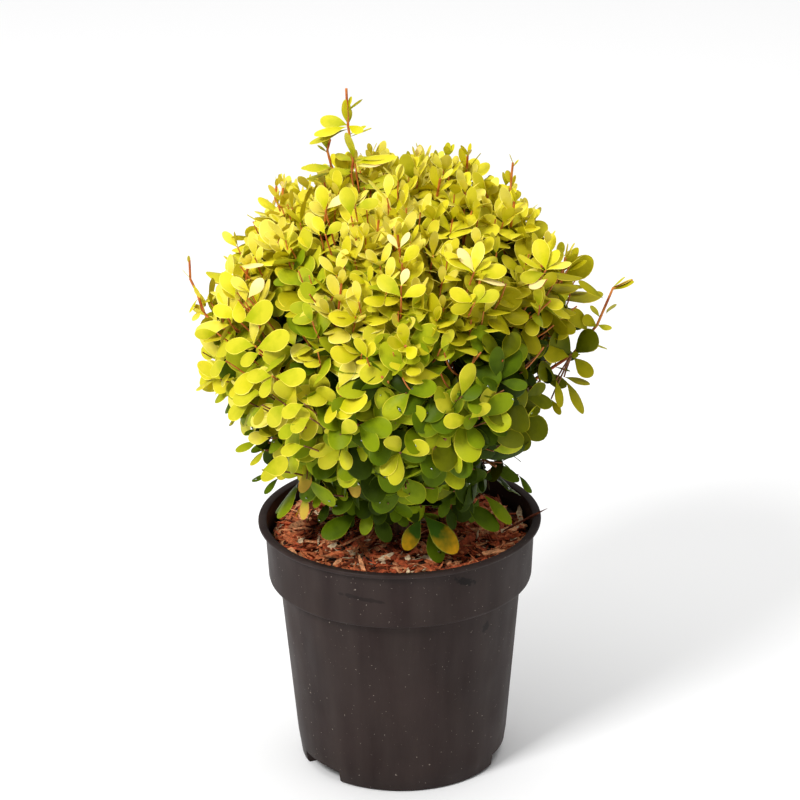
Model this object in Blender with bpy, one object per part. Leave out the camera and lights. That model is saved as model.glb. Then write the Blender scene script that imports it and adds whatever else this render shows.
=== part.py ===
"""A golden barberry, grown as a rounded bush in a black nursery pot.

The pot is a thin moulded shell with a deep collar under its rim and drainage notches in its foot.
It is filled with potting soil under a layer of bark mulch. A short stem rises from the mulch, hidden
by the leaves. Boughs spread from it, and each carries one mass of foliage: shoots that branch from one
stem, with tufts of spoon-shaped leaves at their joints, round a smaller dense core.

Everything is in metres. The origin is the middle of the pot's flat underside, +Z is up, and the side
seen from -Y is the front.
"""

import math
import random

import bmesh
import bpy
from mathutils import Vector
from mathutils.bvhtree import BVHTree

# The pot
POT_HEIGHT = 0.173
RIM_RADIUS = 0.095
LIP_HEIGHT = 0.003
COLLAR_TOP_RADIUS = 0.0905
COLLAR_FOOT_RADIUS = 0.0886
COLLAR_HEIGHT = 0.042
COLLAR_STEP = 0.0015
BODY_TOP_RADIUS = 0.0815
KNEE_HEIGHT = 0.016
KNEE_RADIUS = 0.0709
BASE_RADIUS = 0.0686
WALL = 0.0015
FLOOR = 0.002
POT_SIDES = 42
NOTCH_ANGLES = (-144.0, -13.0, 105.0)  # degrees from +X, anticlockwise seen from above
NOTCH_HALF_ANGLE = 16.0
NOTCH_HEIGHT = 0.009
NOTCH_DEPTH = 0.024
DRAIN_RADIUS = 0.004

# What fills the pot
GAP = 0.0003
SOIL_TOP = 0.149
GROUND = 0.160
MULCH_EDGE = 0.157
MULCH_BUMP = 0.0018
MULCH_SIDES = 24
MULCH_RINGS = (0.014, 0.032, 0.052, 0.071)

# The stem
STEM_FOOT_RADIUS = 0.0085
STEM_RADIUS = 0.0062
STEM_TIP_RADIUS = 0.0050
STEM_FLARE_HEIGHT = 0.010
STEM_TIP = Vector((-0.002, 0.001, 0.200))
STEM_SIDES = 10

# The crown's outline, round its middle
CROWN_MIDDLE = Vector((0.0, 0.0, 0.297))
CROWN_RADIUS = 0.131
CROWN_RISE = 0.120
CROWN_DROP = 0.142
DROP_POWER = 1.7
RIGHT_HOLLOW = 0.36  # share by which the outline draws in, low down on the +X side
HOLLOW_POWER = 10
LOWEST_SLOPE = math.radians(-56)

# Rings of foliage masses, seen from the fork of the bush: slope above the level, how many, first azimuth,
# how far up the stem their boughs leave it, and how deep their cores lie under the crown's outline
FORK = Vector((0.0, 0.0, 0.193))
MASS_RINGS = (
    ("skirt", 16.0, 5, 36.0, 0.22, 0.016),
    ("belt", 42.0, 6, 0.0, 0.42, 0.026),
    ("shoulder", 64.0, 5, 54.0, 0.62, 0.034),
    ("top", 90.0, 1, 0.0, 1.0, 0.036),
)
BOUGH_BEND = 0.16  # how far out a bough is bent and ends, as shares of the way from the fork to the outline
BOUGH_END = 0.34
CORE_START = 0.40  # and where a core starts at the least
CORE_THICKNESS = 0.045
CORE_GAP = 0.001
CORE_FOOT = 0.180
CORE_MERGE = 0.0015
BOUGH_RADIUS = 0.0021
BOUGH_TIP_RADIUS = 0.0017
BOUGH_SIDES = 5

# Shoots and leaves
SHOOTS = 83
SHOOT_TUFTS = 2
SHOOT_SEED = 37
SHOOT_RADIUS = 0.0013
SHOOT_TIP_RADIUS = 0.0008
LEAF_SEED = 5
LEAF_LENGTH = 0.036
LEAF_WIDTH = 0.66  # of its length
LEAF_THICKNESS = 0.0012
# Tufts down a shoot from its tip: how many leaves, their lean from the shoot in degrees, and their size
TUFTS = ((4, 62.0, 0.88), (3, 84.0, 1.0), (2, 78.0, 0.92))
FIRST_TUFT = 0.0045
TUFT_SPACING = 0.0145
LEAF_STEP = 0.0022  # between the leaves of one tuft, along the shoot
LEAN_SPREAD = 7.0
SIZE_SPREAD = 0.07
TRIES = 8
TRY_TURN = 0.7
SPACE_MARGIN = 0.0006
SHOOT_MARGIN = 0.004
ROOT_DEPTH = 0.0005  # how far a leaf's root is sunk past the middle of its shoot
LIMB_MARGIN = 0.0013
GOLDEN_ANGLE = math.pi * (3 - math.sqrt(5))
UP = Vector((0, 0, 1))

# Shoots that stand out of the outline: their tips, and how many tufts of smaller leaves they carry
LONG_SHOOT_SIZE = 0.7
LONG_SHOOTS = (
    ("leader", Vector((-0.035, 0.012, 0.465)), 6),
    ("leader_side", Vector((-0.048, 0.008, 0.436)), 3),
    ("left_wisp", Vector((-0.128, 0.000, 0.346)), 4),
    ("right_wisp", Vector((0.141, -0.004, 0.334)), 5),
    ("high_right_wisp", Vector((0.076, 0.045, 0.405)), 3),
    ("high_left", Vector((-0.082, 0.035, 0.388)), 3),
)


def clear_scene():
    for obj in list(bpy.data.objects):
        bpy.data.objects.remove(obj, do_unlink=True)


def material(name, colour, roughness):
    made = bpy.data.materials.new(name)
    made.use_nodes = True
    shader = made.node_tree.nodes["Principled BSDF"]
    shader.inputs["Base Color"].default_value = (*colour, 1)
    shader.inputs["Roughness"].default_value = roughness
    shader.inputs["Metallic"].default_value = 0.0
    return made


def object_from(name, shape, look=None, smooth=False):
    """Puts a bmesh in the scene as an object of that name."""
    mesh = bpy.data.meshes.new(name)
    shape.to_mesh(mesh)
    shape.free()
    if smooth:
        mesh.shade_smooth()
        mesh.set_sharp_from_angle(angle=math.radians(35))
    obj = bpy.data.objects.new(name, mesh)
    bpy.context.scene.collection.objects.link(obj)
    if look:
        mesh.materials.append(look)
    return obj


def applied(obj):
    """Replaces an object's mesh with what its modifiers make of it."""
    graph = bpy.context.evaluated_depsgraph_get()
    mesh = bpy.data.meshes.new_from_object(obj.evaluated_get(graph))
    looks = list(obj.data.materials)
    obj.modifiers.clear()
    obj.data = mesh
    mesh.materials.clear()
    for look in looks[:1]:
        mesh.materials.append(look)
    return obj


def boolean(obj, operation, others, solver="EXACT"):
    """Joins or cuts an object with others, which are then removed."""
    group = bpy.data.collections.new(obj.name + "_group")
    bpy.context.scene.collection.children.link(group)
    for other in others:
        group.objects.link(other)
    change = obj.modifiers.new(operation.lower(), "BOOLEAN")
    change.operation = operation
    change.solver = solver
    change.operand_type = "COLLECTION"
    change.collection = group
    applied(obj)
    for other in others:
        bpy.data.objects.remove(other, do_unlink=True)
    bpy.data.collections.remove(group)
    return obj


def turned(profile, sides):
    """A closed solid turned round Z from a profile of (radius, height) points."""
    shape = bmesh.new()
    points = [shape.verts.new((radius, 0, height)) for radius, height in profile]
    edges = [shape.edges.new(pair) for pair in zip(points, points[1:])]
    bmesh.ops.spin(
        shape,
        geom=points + edges,
        cent=(0, 0, 0),
        axis=(0, 0, 1),
        dvec=(0, 0, 0),
        angle=2 * math.pi,
        steps=sides,
        use_merge=True,
        use_duplicate=False,
    )
    bmesh.ops.remove_doubles(shape, verts=shape.verts, dist=1e-6)
    bmesh.ops.recalc_face_normals(shape, faces=shape.faces)
    return shape


def body_radius(height):
    """Outside radius of the pot's body, between its base and the collar's step."""
    if height < KNEE_HEIGHT:
        return BASE_RADIUS + (KNEE_RADIUS - BASE_RADIUS) * height / KNEE_HEIGHT
    share = (height - KNEE_HEIGHT) / (POT_HEIGHT - COLLAR_HEIGHT - KNEE_HEIGHT)
    return KNEE_RADIUS + (BODY_TOP_RADIUS - KNEE_RADIUS) * share


def inside_profile(clearance):
    """Profile of the pot's hollow from the floor's middle up to the collar, drawn in by a clearance."""
    step = POT_HEIGHT - COLLAR_HEIGHT
    inset = WALL + clearance
    return [
        (0, FLOOR + clearance),
        (BASE_RADIUS - inset, FLOOR + clearance),
        (KNEE_RADIUS - inset, KNEE_HEIGHT),
        (BODY_TOP_RADIUS - inset, step),
        (COLLAR_FOOT_RADIUS - inset, step + COLLAR_STEP + WALL),
    ]


def collar_inside(height):
    """Inside radius of the collar at a height above its step."""
    foot = POT_HEIGHT - COLLAR_HEIGHT
    share = (height - foot) / (POT_HEIGHT - LIP_HEIGHT - foot)
    return COLLAR_FOOT_RADIUS + (COLLAR_TOP_RADIUS - COLLAR_FOOT_RADIUS) * share - WALL


def wedge(angle, half_angle, inner, low, high, outer_inset):
    """A block over one drainage notch: its outer side follows the pot's wall, moved in by outer_inset."""
    shape = bmesh.new()
    steps = 4
    rows = []
    for height in (low, high):
        outer = body_radius(max(height, 0)) - outer_inset
        row = []
        for radius, order in ((inner, range(steps + 1)), (outer, range(steps, -1, -1))):
            for i in order:
                turn = math.radians(angle + half_angle * (2 * i / steps - 1))
                row.append(shape.verts.new((radius * math.cos(turn), radius * math.sin(turn), height)))
        rows.append(row)
    count = len(rows[0])
    for i in range(count):
        after = (i + 1) % count
        shape.faces.new((rows[0][i], rows[0][after], rows[1][after], rows[1][i]))
    shape.faces.new(rows[0])
    shape.faces.new(rows[1])
    bmesh.ops.recalc_face_normals(shape, faces=shape.faces)
    return shape


def notch_blocks(name, grow, high, low, outer_inset):
    """One block for each drainage notch, larger all round by grow."""
    inner = BASE_RADIUS - NOTCH_DEPTH - grow
    wider = NOTCH_HALF_ANGLE + math.degrees(grow / (BASE_RADIUS - NOTCH_DEPTH))
    return [
        object_from(f"{name}_{i}", wedge(angle, wider, inner, low, high, outer_inset))
        for i, angle in enumerate(NOTCH_ANGLES)
    ]


def drains():
    """Cutters for the round drain hole in the roof of each notch."""
    found = []
    middle = BASE_RADIUS - NOTCH_DEPTH / 2
    for i, angle in enumerate(NOTCH_ANGLES):
        turn = math.radians(angle)
        shape = bmesh.new()
        bmesh.ops.create_cone(
            shape, cap_ends=True, segments=10, radius1=DRAIN_RADIUS, radius2=DRAIN_RADIUS, depth=0.008
        )
        place = (middle * math.cos(turn), middle * math.sin(turn), NOTCH_HEIGHT + WALL / 2)
        bmesh.ops.translate(shape, verts=shape.verts, vec=place)
        found.append(object_from(f"drain_{i}", shape))
    return found


def build_pot(plastic):
    step = POT_HEIGHT - COLLAR_HEIGHT
    lip = POT_HEIGHT - LIP_HEIGHT
    profile = [
        (0, 0),
        (BASE_RADIUS, 0),
        (KNEE_RADIUS, KNEE_HEIGHT),
        (BODY_TOP_RADIUS, step),
        (COLLAR_FOOT_RADIUS, step + COLLAR_STEP),
        (COLLAR_TOP_RADIUS, lip),
        (RIM_RADIUS, lip + 0.0004),
        (RIM_RADIUS - 0.0006, POT_HEIGHT),
        (collar_inside(POT_HEIGHT) + 0.001, POT_HEIGHT),
        (collar_inside(lip), lip - 0.001),
    ]
    profile += reversed(inside_profile(0))
    pot = object_from("pot", turned(profile, POT_SIDES), plastic, smooth=True)
    boolean(pot, "UNION", notch_blocks("housing", WALL, NOTCH_HEIGHT + WALL, FLOOR / 2, WALL / 2))
    cuts = notch_blocks("notch", 0, NOTCH_HEIGHT, -0.002, -0.006)
    return boolean(pot, "DIFFERENCE", cuts + drains())


def build_soil(earth):
    profile = inside_profile(GAP)
    profile += [(collar_inside(SOIL_TOP) - GAP, SOIL_TOP), (0, SOIL_TOP)]
    soil = object_from("potting_soil", turned(profile, POT_SIDES), earth, smooth=True)
    blocks = notch_blocks("keep_out", WALL + GAP, NOTCH_HEIGHT + WALL + GAP, FLOOR / 2, -0.002)
    return boolean(soil, "DIFFERENCE", blocks)


def build_mulch(bark):
    """A disc of bark with a lumpy top, level where the stem stands."""
    rng = random.Random(SHOOT_SEED)
    shape = bmesh.new()
    low = SOIL_TOP + GAP
    edge = collar_inside(low) - 2 * GAP
    rings = [(radius, None) for radius in MULCH_RINGS] + [(edge, MULCH_EDGE), (edge, low)]
    rows = []
    for number, (radius, height) in enumerate(rings):
        row = []
        for i in range(MULCH_SIDES):
            turn = 2 * math.pi * i / MULCH_SIDES
            z = height
            if z is None:
                bump = rng.uniform(-MULCH_BUMP, MULCH_BUMP) if number else 0.0
                z = GROUND - GAP + bump - (GROUND - MULCH_EDGE) * (radius / edge) ** 2
                z = GROUND - GAP if number == 0 else z
            row.append(shape.verts.new((radius * math.cos(turn), radius * math.sin(turn), z)))
        rows.append(row)
    for inner, outer in zip(rows, rows[1:]):
        for i in range(MULCH_SIDES):
            after = (i + 1) % MULCH_SIDES
            shape.faces.new((inner[i], outer[i], outer[after], inner[after]))
    shape.faces.new(rows[0])
    shape.faces.new(rows[-1])
    bmesh.ops.recalc_face_normals(shape, faces=shape.faces)
    return object_from("bark_mulch", shape, bark)


def curve_point(start, bend, end, share):
    """A point of the smooth curve from start to end that leans towards bend."""
    rest = 1 - share
    return start * rest * rest + bend * 2 * rest * share + end * share * share


def curve(start, bend, end, pieces):
    return [curve_point(start, bend, end, i / pieces) for i in range(pieces + 1)]


def tube(path, radii, sides):
    """A closed limb of that many sides along a path, with a radius at each of its points."""
    shape = bmesh.new()
    across = None
    rows = []
    for i, (point, radius) in enumerate(zip(path, radii)):
        along = (path[min(i + 1, len(path) - 1)] - path[max(i - 1, 0)]).normalized()
        if across is None:
            across = along.cross(Vector((1, 0, 0)) if abs(along.x) < 0.8 else Vector((0, 1, 0)))
        across = (across - along * across.dot(along)).normalized()
        other = along.cross(across)
        turns = [2 * math.pi * k / sides for k in range(sides)]
        rows.append(
            [shape.verts.new(point + (across * math.cos(a) + other * math.sin(a)) * radius) for a in turns]
        )
    for low, high in zip(rows, rows[1:]):
        for k in range(sides):
            after = (k + 1) % sides
            shape.faces.new((low[k], low[after], high[after], high[k]))
    shape.faces.new(list(reversed(rows[0])))
    shape.faces.new(rows[-1])
    return shape


def stem_line(extra=0.0):
    """Points and radii up the stem: its flared foot, its straight run, and its tip."""
    foot = Vector((0, 0, GROUND - extra))
    knee = foot + (STEM_TIP - foot) * 0.2
    flare = Vector((0, 0, GROUND + STEM_FLARE_HEIGHT * 0.4))
    path = [foot, flare, knee, foot.lerp(STEM_TIP, 0.6), STEM_TIP + UP * extra]
    middle = (STEM_RADIUS + STEM_TIP_RADIUS) / 2
    radii = [STEM_FOOT_RADIUS, (STEM_FOOT_RADIUS + STEM_RADIUS) / 2, STEM_RADIUS, middle, STEM_TIP_RADIUS]
    return path, [radius + extra for radius in radii]


def direction(azimuth, elevation):
    """Unit vector from the crown's middle: azimuth in degrees from +X, elevation above the level."""
    turn, rise = math.radians(azimuth), math.radians(elevation)
    return Vector((math.cos(turn) * math.cos(rise), math.sin(turn) * math.cos(rise), math.sin(rise)))


def reach(way):
    """How far the crown's outline is from its middle, that way."""
    flat = math.hypot(way.x, way.y)
    power = 2.0 if way.z > 0 else DROP_POWER
    tall = CROWN_RISE if way.z > 0 else CROWN_DROP
    full = ((flat / CROWN_RADIUS) ** power + (abs(way.z) / tall) ** power) ** (-1 / power)
    hollow = (max(0.0, way.x) / flat) ** HOLLOW_POWER * max(0.0, -way.z) if flat > 0.01 else 0.0
    return full * (1 - RIGHT_HOLLOW * hollow)


def way_out(start, way):
    """How far a line from a point inside the crown runs, that way, before it leaves the outline."""
    near, far = 0.0, 3 * CROWN_RADIUS
    for _ in range(24):
        middle = (near + far) / 2
        offset = start + way * middle - CROWN_MIDDLE
        if offset.length < reach(offset.normalized()):
            near = middle
        else:
            far = middle
    return near


def mass_plan():
    """Each mass of foliage, with the way to it from the fork, and how far out the crown ends there."""
    plan = []
    for ring, slope, count, first, height, core_depth in MASS_RINGS:
        for i in range(count):
            way = direction(first + 360 * i / count, slope)
            name = ring if count == 1 else f"{ring}_{i + 1}"
            mass = {"name": name, "ring": ring, "way": way, "depth": way_out(FORK, way)}
            mass["leaves_at"] = height
            mass["core_depth"] = core_depth
            plan.append(mass)
    return plan


def along_mass(mass, share):
    """The point that share of the way from the fork to the crown's outline, through the mass's middle."""
    return FORK + mass["way"] * mass["depth"] * share


def bough_curve(mass):
    """Start, bend and tip of a bough. It leaves the stem, or for the top mass carries on from its tip."""
    tip = along_mass(mass, BOUGH_END)
    if mass["ring"] == "top":
        start = STEM_TIP + UP * GAP
        return start, start.lerp(tip, 0.5), tip
    start = Vector((0, 0, GROUND)).lerp(STEM_TIP, mass["leaves_at"])
    return start, along_mass(mass, BOUGH_BEND), tip


def clearance_in_space(point, mass, plan):
    """How far a point is inside a mass's own space: a cone from the fork, halfway to the other masses."""
    least = 1.0
    for other in plan:
        if other is not mass:
            away = (mass["way"] - other["way"]).normalized()
            least = min(least, (point - FORK).dot(away))
    return least


def pulled_inside(point, mass, plan, margin):
    """A point moved clear of the sides of a mass's space where it is nearer to them than a margin."""
    for other in plan:
        if other is not mass:
            away = (mass["way"] - other["way"]).normalized()
            point = point + away * max(0.0, margin - (point - FORK).dot(away))
    return point


def shoot_plan(plan):
    """Every leafy shoot: its tip, how it grows there, its tufts, their leaves' size, and its mass."""
    rng = random.Random(SHOOT_SEED)
    shoots = []
    lowest = math.sin(LOWEST_SLOPE)
    for i in range(SHOOTS):
        rise = math.degrees(math.asin(1 - (1 - lowest) * (i + 0.5) / SHOOTS))
        azimuth = math.degrees(i * GOLDEN_ANGLE) + rng.uniform(-8, 8)
        way = direction(azimuth, rise)
        tip = CROWN_MIDDLE + way * reach(way) * rng.uniform(0.92, 1.0)
        shoots.append({"tip": tip, "tufts": SHOOT_TUFTS, "size": 1.0})
    for _, tip, tufts in LONG_SHOOTS:
        shoots.append({"tip": tip, "tufts": tufts, "size": LONG_SHOOT_SIZE})
    for shoot in shoots:
        way = (shoot["tip"] - CROWN_MIDDLE).normalized()
        shoot["grows"] = (way + UP * (0.55 if way.z > -0.2 else 0.25)).normalized()
        aim = (shoot["tip"] - FORK).normalized()
        shoot["mass"] = max(plan, key=lambda mass: mass["way"].dot(aim))
        shoot["tip"] = pulled_inside(shoot["tip"], shoot["mass"], plan, SHOOT_MARGIN)
    return shoots


def distance_to_line(point, start, end):
    way = end - start
    share = max(0.0, min(1.0, (point - start).dot(way) / way.length_squared))
    return (start + way * share - point).length


def free_of_limbs(points, limbs, own):
    """Whether points are clear of every limb but their own."""
    for owner, path, radii in limbs:
        if owner is own:
            continue
        for i in range(len(path) - 1):
            thick = max(radii[i], radii[i + 1]) + LIMB_MARGIN
            if any(distance_to_line(point, path[i], path[i + 1]) < thick for point in points):
                return False
    return True


def above_pot(point):
    """Whether a point is clear of the mulch, and of the pot's rim or inside it."""
    flat = math.hypot(point.x, point.y)
    if point.z < GROUND + 0.003:
        return False
    return point.z > POT_HEIGHT + 0.002 or flat < collar_inside(GROUND) - 0.004


LEAF_OUTLINE = (0, 1, 2, 3, 4)
LEAF_FACES = [(a, b, 5) for a, b in zip(LEAF_OUTLINE, LEAF_OUTLINE[1:] + LEAF_OUTLINE[:1])]
LEAF_FACES += [(0, 4, 1), (1, 4, 3), (1, 3, 2)]  # the flat underside


def leaf_points(root, along, normal, length):
    """The six corners of a spoon-shaped leaf: root, side, the blunt tip's two, side, and its ridge's top."""
    across = along.cross(normal).normalized()
    half = length * LEAF_WIDTH / 2
    lift = across.cross(along) * LEAF_THICKNESS
    widest = root + along * length * 0.64
    tip = root + along * length
    middle = root + along * length * 0.4
    return [
        root,
        widest + across * half,
        tip + across * half * 0.4,
        tip - across * half * 0.4,
        widest - across * half,
        middle + lift,
    ]


def leaf_mesh(points):
    shape = bmesh.new()
    corners = [shape.verts.new(point) for point in points]
    for face in LEAF_FACES:
        shape.faces.new([corners[i] for i in face])
    bmesh.ops.recalc_face_normals(shape, faces=shape.faces)
    return shape


def mass_core(mass, plan):
    """The dense inside of a mass: part of a smaller crown, cut to the mass's space, clear of the boughs."""
    shape = bmesh.new()
    bmesh.ops.create_icosphere(shape, subdivisions=2, radius=1)
    for vertex in shape.verts:
        way = vertex.co.normalized()
        vertex.co = CROWN_MIDDLE + way * (reach(way) - mass["core_depth"])
    inner = mass["depth"] - mass["core_depth"] - CORE_THICKNESS
    start = max(mass["depth"] * CORE_START, inner)
    cuts = [(FORK + mass["way"] * start, -mass["way"]), (UP * CORE_FOOT, -UP)]
    for other in plan:
        if other is not mass:
            away = (other["way"] - mass["way"]).normalized()
            cuts.append((FORK - away * CORE_GAP, away))
    for place, way in cuts:
        bmesh.ops.bisect_plane(
            shape,
            geom=list(shape.verts) + list(shape.edges) + list(shape.faces),
            dist=1e-6,
            plane_co=place,
            plane_no=way,
            clear_outer=True,
        )
        rim = [edge for edge in shape.edges if edge.is_boundary]
        if rim:
            bmesh.ops.holes_fill(shape, edges=rim, sides=0)
    bmesh.ops.remove_doubles(shape, verts=shape.verts, dist=CORE_MERGE)
    corners = [vertex.co.copy() for vertex in shape.verts]
    shape.clear()
    hull = bmesh.ops.convex_hull(shape, input=[shape.verts.new(corner) for corner in corners])
    bmesh.ops.delete(shape, geom=hull["geom_interior"], context="VERTS")
    bmesh.ops.recalc_face_normals(shape, faces=shape.faces)
    return shape


def tapered(count, first, last):
    return [first + (last - first) * i / (count - 1) for i in range(count)]


def shoot_paths(mass, shoots):
    """Lines of a mass's stem, which ends in its middlemost shoot, and of the shoots that branch from it."""
    mine = [shoot for shoot in shoots if shoot["mass"] is mass]
    mine.sort(key=lambda shoot: -(shoot["tip"] - FORK).normalized().dot(mass["way"]))
    start = along_mass(mass, BOUGH_END) + mass["way"] * GAP
    main = mine[0]
    run = (main["tip"] - start).length
    bend = start + mass["way"] * run * 0.5
    stem = curve(start, bend, main["tip"], 4)
    paths = [(main, stem, tapered(5, BOUGH_TIP_RADIUS * 0.95, SHOOT_TIP_RADIUS))]
    for i, shoot in enumerate(mine[1:]):
        root = curve_point(start, bend, main["tip"], 0.24 + 0.34 * (i + 0.5) / max(1, len(mine) - 1))
        run = (shoot["tip"] - root).length
        turn = shoot["tip"] - shoot["grows"] * run * 0.45
        line = curve(root, turn, shoot["tip"], 2)
        paths.append((shoot, line, tapered(3, SHOOT_RADIUS, SHOOT_TIP_RADIUS)))
    return paths


def tuft_places(path, tufts):
    """Places of the tufts down a shoot from its tip, each with the way the shoot grows there."""
    places = []
    wanted = FIRST_TUFT
    gone = 0.0
    for after, before in zip(reversed(path), reversed(path[:-1])):
        run = (after - before).length
        while wanted <= gone + run and len(places) < tufts:
            places.append((after.lerp(before, (wanted - gone) / run), (after - before).normalized()))
            wanted += TUFT_SPACING
        gone += run
    return places


def leaf_fits(points, mass, plan, limbs):
    """Whether a leaf stays in its mass's own space, above the pot, and clear of every limb but its own."""
    if not all(clearance_in_space(p, mass, plan) > SPACE_MARGIN and above_pot(p) for p in points):
        return False
    halfway = (points[0] + points[5]) / 2
    return free_of_limbs([halfway, *points[1:]], limbs, mass)


def grow_leaves(mass, paths, core, plan, limbs, rng):
    """Leaves in tufts down a mass's shoots. One that touches anything, or strays, is turned or skipped."""
    kept = []
    grown = [BVHTree.FromBMesh(core)]
    shoots = [BVHTree.FromBMesh(tube(path, radii, 3)) for _, path, radii in paths]
    for number, (shoot, path, _) in enumerate(paths):
        turn = rng.uniform(0, 2 * math.pi)
        others = shoots[:number] + shoots[number + 1 :]
        for tuft, (place, grows) in enumerate(tuft_places(path, shoot["tufts"])):
            count, lean, size = TUFTS[min(tuft, len(TUFTS) - 1)]
            side = grows.cross(UP if abs(grows.z) < 0.9 else Vector((1, 0, 0))).normalized()
            other = grows.cross(side)
            for step in range(count):
                turn += GOLDEN_ANGLE
                length = LEAF_LENGTH * shoot["size"] * size * rng.uniform(1 - SIZE_SPREAD, 1 + SIZE_SPREAD)
                tilt = math.radians(lean + rng.uniform(-LEAN_SPREAD, LEAN_SPREAD))
                for attempt in range(TRIES):
                    angle = turn + attempt * TRY_TURN
                    out = side * math.cos(angle) + other * math.sin(angle)
                    along = (grows * math.cos(tilt) + out * math.sin(tilt)).normalized()
                    normal = (grows * math.sin(tilt) - out * math.cos(tilt)).normalized()
                    root = place - grows * LEAF_STEP * step - along * ROOT_DEPTH
                    points = leaf_points(root, along, normal, length)
                    if not leaf_fits(points, mass, plan, limbs):
                        continue
                    tree = BVHTree.FromPolygons(points, LEAF_FACES)
                    if any(tree.overlap(thing) for thing in grown + others):
                        continue
                    kept.append(points)
                    grown.append(tree)
                    break
    return kept


def keep_largest_body(obj):
    """Drops loose scraps, and fills a hollow that the joining sealed, by keeping the largest closed skin."""
    shape = bmesh.new()
    shape.from_mesh(obj.data)
    unseen = set(shape.verts)
    bodies = []
    while unseen:
        body = {unseen.pop()}
        edge = list(body)
        while edge:
            vertex = edge.pop()
            for link in vertex.link_edges:
                other = link.other_vert(vertex)
                if other not in body:
                    body.add(other)
                    edge.append(other)
        unseen -= body
        bodies.append(body)
    bodies.sort(key=len)
    for body in bodies[:-1]:
        bmesh.ops.delete(shape, geom=list(body), context="VERTS")
    shape.to_mesh(obj.data)
    shape.free()
    return obj


def build_mass(mass, paths, core, leaves, leaf_look):
    """One mass: its stem, its core, its shoots and its leaves, joined into one solid."""
    (_, stem, radii), *others = paths
    obj = object_from("leaves_" + mass["name"], tube(stem, radii, 4), leaf_look)
    pieces = [object_from("core", core)]
    pieces += [object_from("shoot", tube(path, widths, 3)) for _, path, widths in others]
    pieces += [object_from("leaf", leaf_mesh(points)) for points in leaves]
    boolean(obj, "UNION", pieces, solver="MANIFOLD")
    return keep_largest_body(obj)


def build_bush(wood, leaf_looks):
    plan = mass_plan()
    shoots = shoot_plan(plan)
    path, radii = stem_line()
    object_from("stem", tube(path, radii, STEM_SIDES), wood, smooth=True)
    limbs = [(None, path, radii)]
    for mass in plan:
        line = curve(*bough_curve(mass), 3)
        widths = tapered(4, BOUGH_RADIUS, BOUGH_TIP_RADIUS)
        bough = object_from("bough_" + mass["name"], tube(line, widths, BOUGH_SIDES), wood, smooth=True)
        if mass["ring"] != "top":
            fat_path, fat_radii = stem_line(GAP)
            boolean(bough, "DIFFERENCE", [object_from("clearance", tube(fat_path, fat_radii, STEM_SIDES))])
        limbs.append((None, line, widths))
    lines = {}
    for mass in plan:
        lines[mass["name"]] = shoot_paths(mass, shoots)
        _, stem, widths = lines[mass["name"]][0]
        limbs.append((mass, stem, widths))
    rng = random.Random(LEAF_SEED)
    total = 0
    for mass in plan:
        paths = lines[mass["name"]]
        core = mass_core(mass, plan)
        leaves = grow_leaves(mass, paths, core, plan, limbs, rng)
        total += len(leaves)
        build_mass(mass, paths, core, leaves, leaf_looks[mass["ring"]])
    print(total, "leaves on", len(shoots), "shoots")


def main():
    clear_scene()
    build_pot(material("black_plastic", (0.035, 0.030, 0.030), 0.5))
    build_soil(material("potting_soil", (0.06, 0.035, 0.02), 0.95))
    build_mulch(material("bark_mulch", (0.25, 0.11, 0.05), 0.9))
    wood = material("barberry_bark", (0.30, 0.12, 0.05), 0.75)
    leaf_looks = {
        "skirt": material("leaf_green", (0.10, 0.20, 0.02), 0.5),
        "belt": material("leaf_lime", (0.33, 0.42, 0.03), 0.5),
        "shoulder": material("leaf_gold", (0.58, 0.56, 0.04), 0.5),
        "top": material("leaf_bright_gold", (0.64, 0.60, 0.05), 0.5),
    }
    build_bush(wood, leaf_looks)


main()
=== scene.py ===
import math
import random

import bmesh
import bpy
import numpy as np
from mathutils import Matrix, Quaternion, Vector, noise


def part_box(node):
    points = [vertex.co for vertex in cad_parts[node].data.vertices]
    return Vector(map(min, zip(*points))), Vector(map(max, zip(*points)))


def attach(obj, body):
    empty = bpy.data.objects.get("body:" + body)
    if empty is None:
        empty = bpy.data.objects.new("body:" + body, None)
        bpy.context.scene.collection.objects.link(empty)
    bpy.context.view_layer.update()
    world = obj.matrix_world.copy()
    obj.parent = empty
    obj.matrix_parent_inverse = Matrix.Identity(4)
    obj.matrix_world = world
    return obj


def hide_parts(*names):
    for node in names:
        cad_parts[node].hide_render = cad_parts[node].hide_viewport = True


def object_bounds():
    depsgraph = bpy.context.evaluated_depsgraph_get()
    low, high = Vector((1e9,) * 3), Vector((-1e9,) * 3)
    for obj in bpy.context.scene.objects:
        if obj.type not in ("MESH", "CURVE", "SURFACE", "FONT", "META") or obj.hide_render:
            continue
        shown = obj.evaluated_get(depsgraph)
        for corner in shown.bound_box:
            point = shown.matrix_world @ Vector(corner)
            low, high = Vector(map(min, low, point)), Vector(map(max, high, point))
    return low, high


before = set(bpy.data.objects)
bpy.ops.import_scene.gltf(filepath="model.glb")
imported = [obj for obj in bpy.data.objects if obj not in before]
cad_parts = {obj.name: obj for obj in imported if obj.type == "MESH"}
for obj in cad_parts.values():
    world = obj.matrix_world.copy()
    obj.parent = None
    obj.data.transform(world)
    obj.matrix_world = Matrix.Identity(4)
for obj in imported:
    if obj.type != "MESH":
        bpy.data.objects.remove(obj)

cad_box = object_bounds()

# The camera
# It stands about three metres in front of the pot, with a long lens, and looks down on the rim.
# The pot's rim is below the middle of the picture, and the picture is turned a little.
PICTURE_PIXELS = 800
RIM_PIXEL = (399.4, 515.4)
CAMERA_DISTANCE = 3.0
CAMERA_SLOPE = math.radians(24.5)
LENS = 201.0
SENSOR = 36.0
ROLL = math.radians(0.7)

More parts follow.
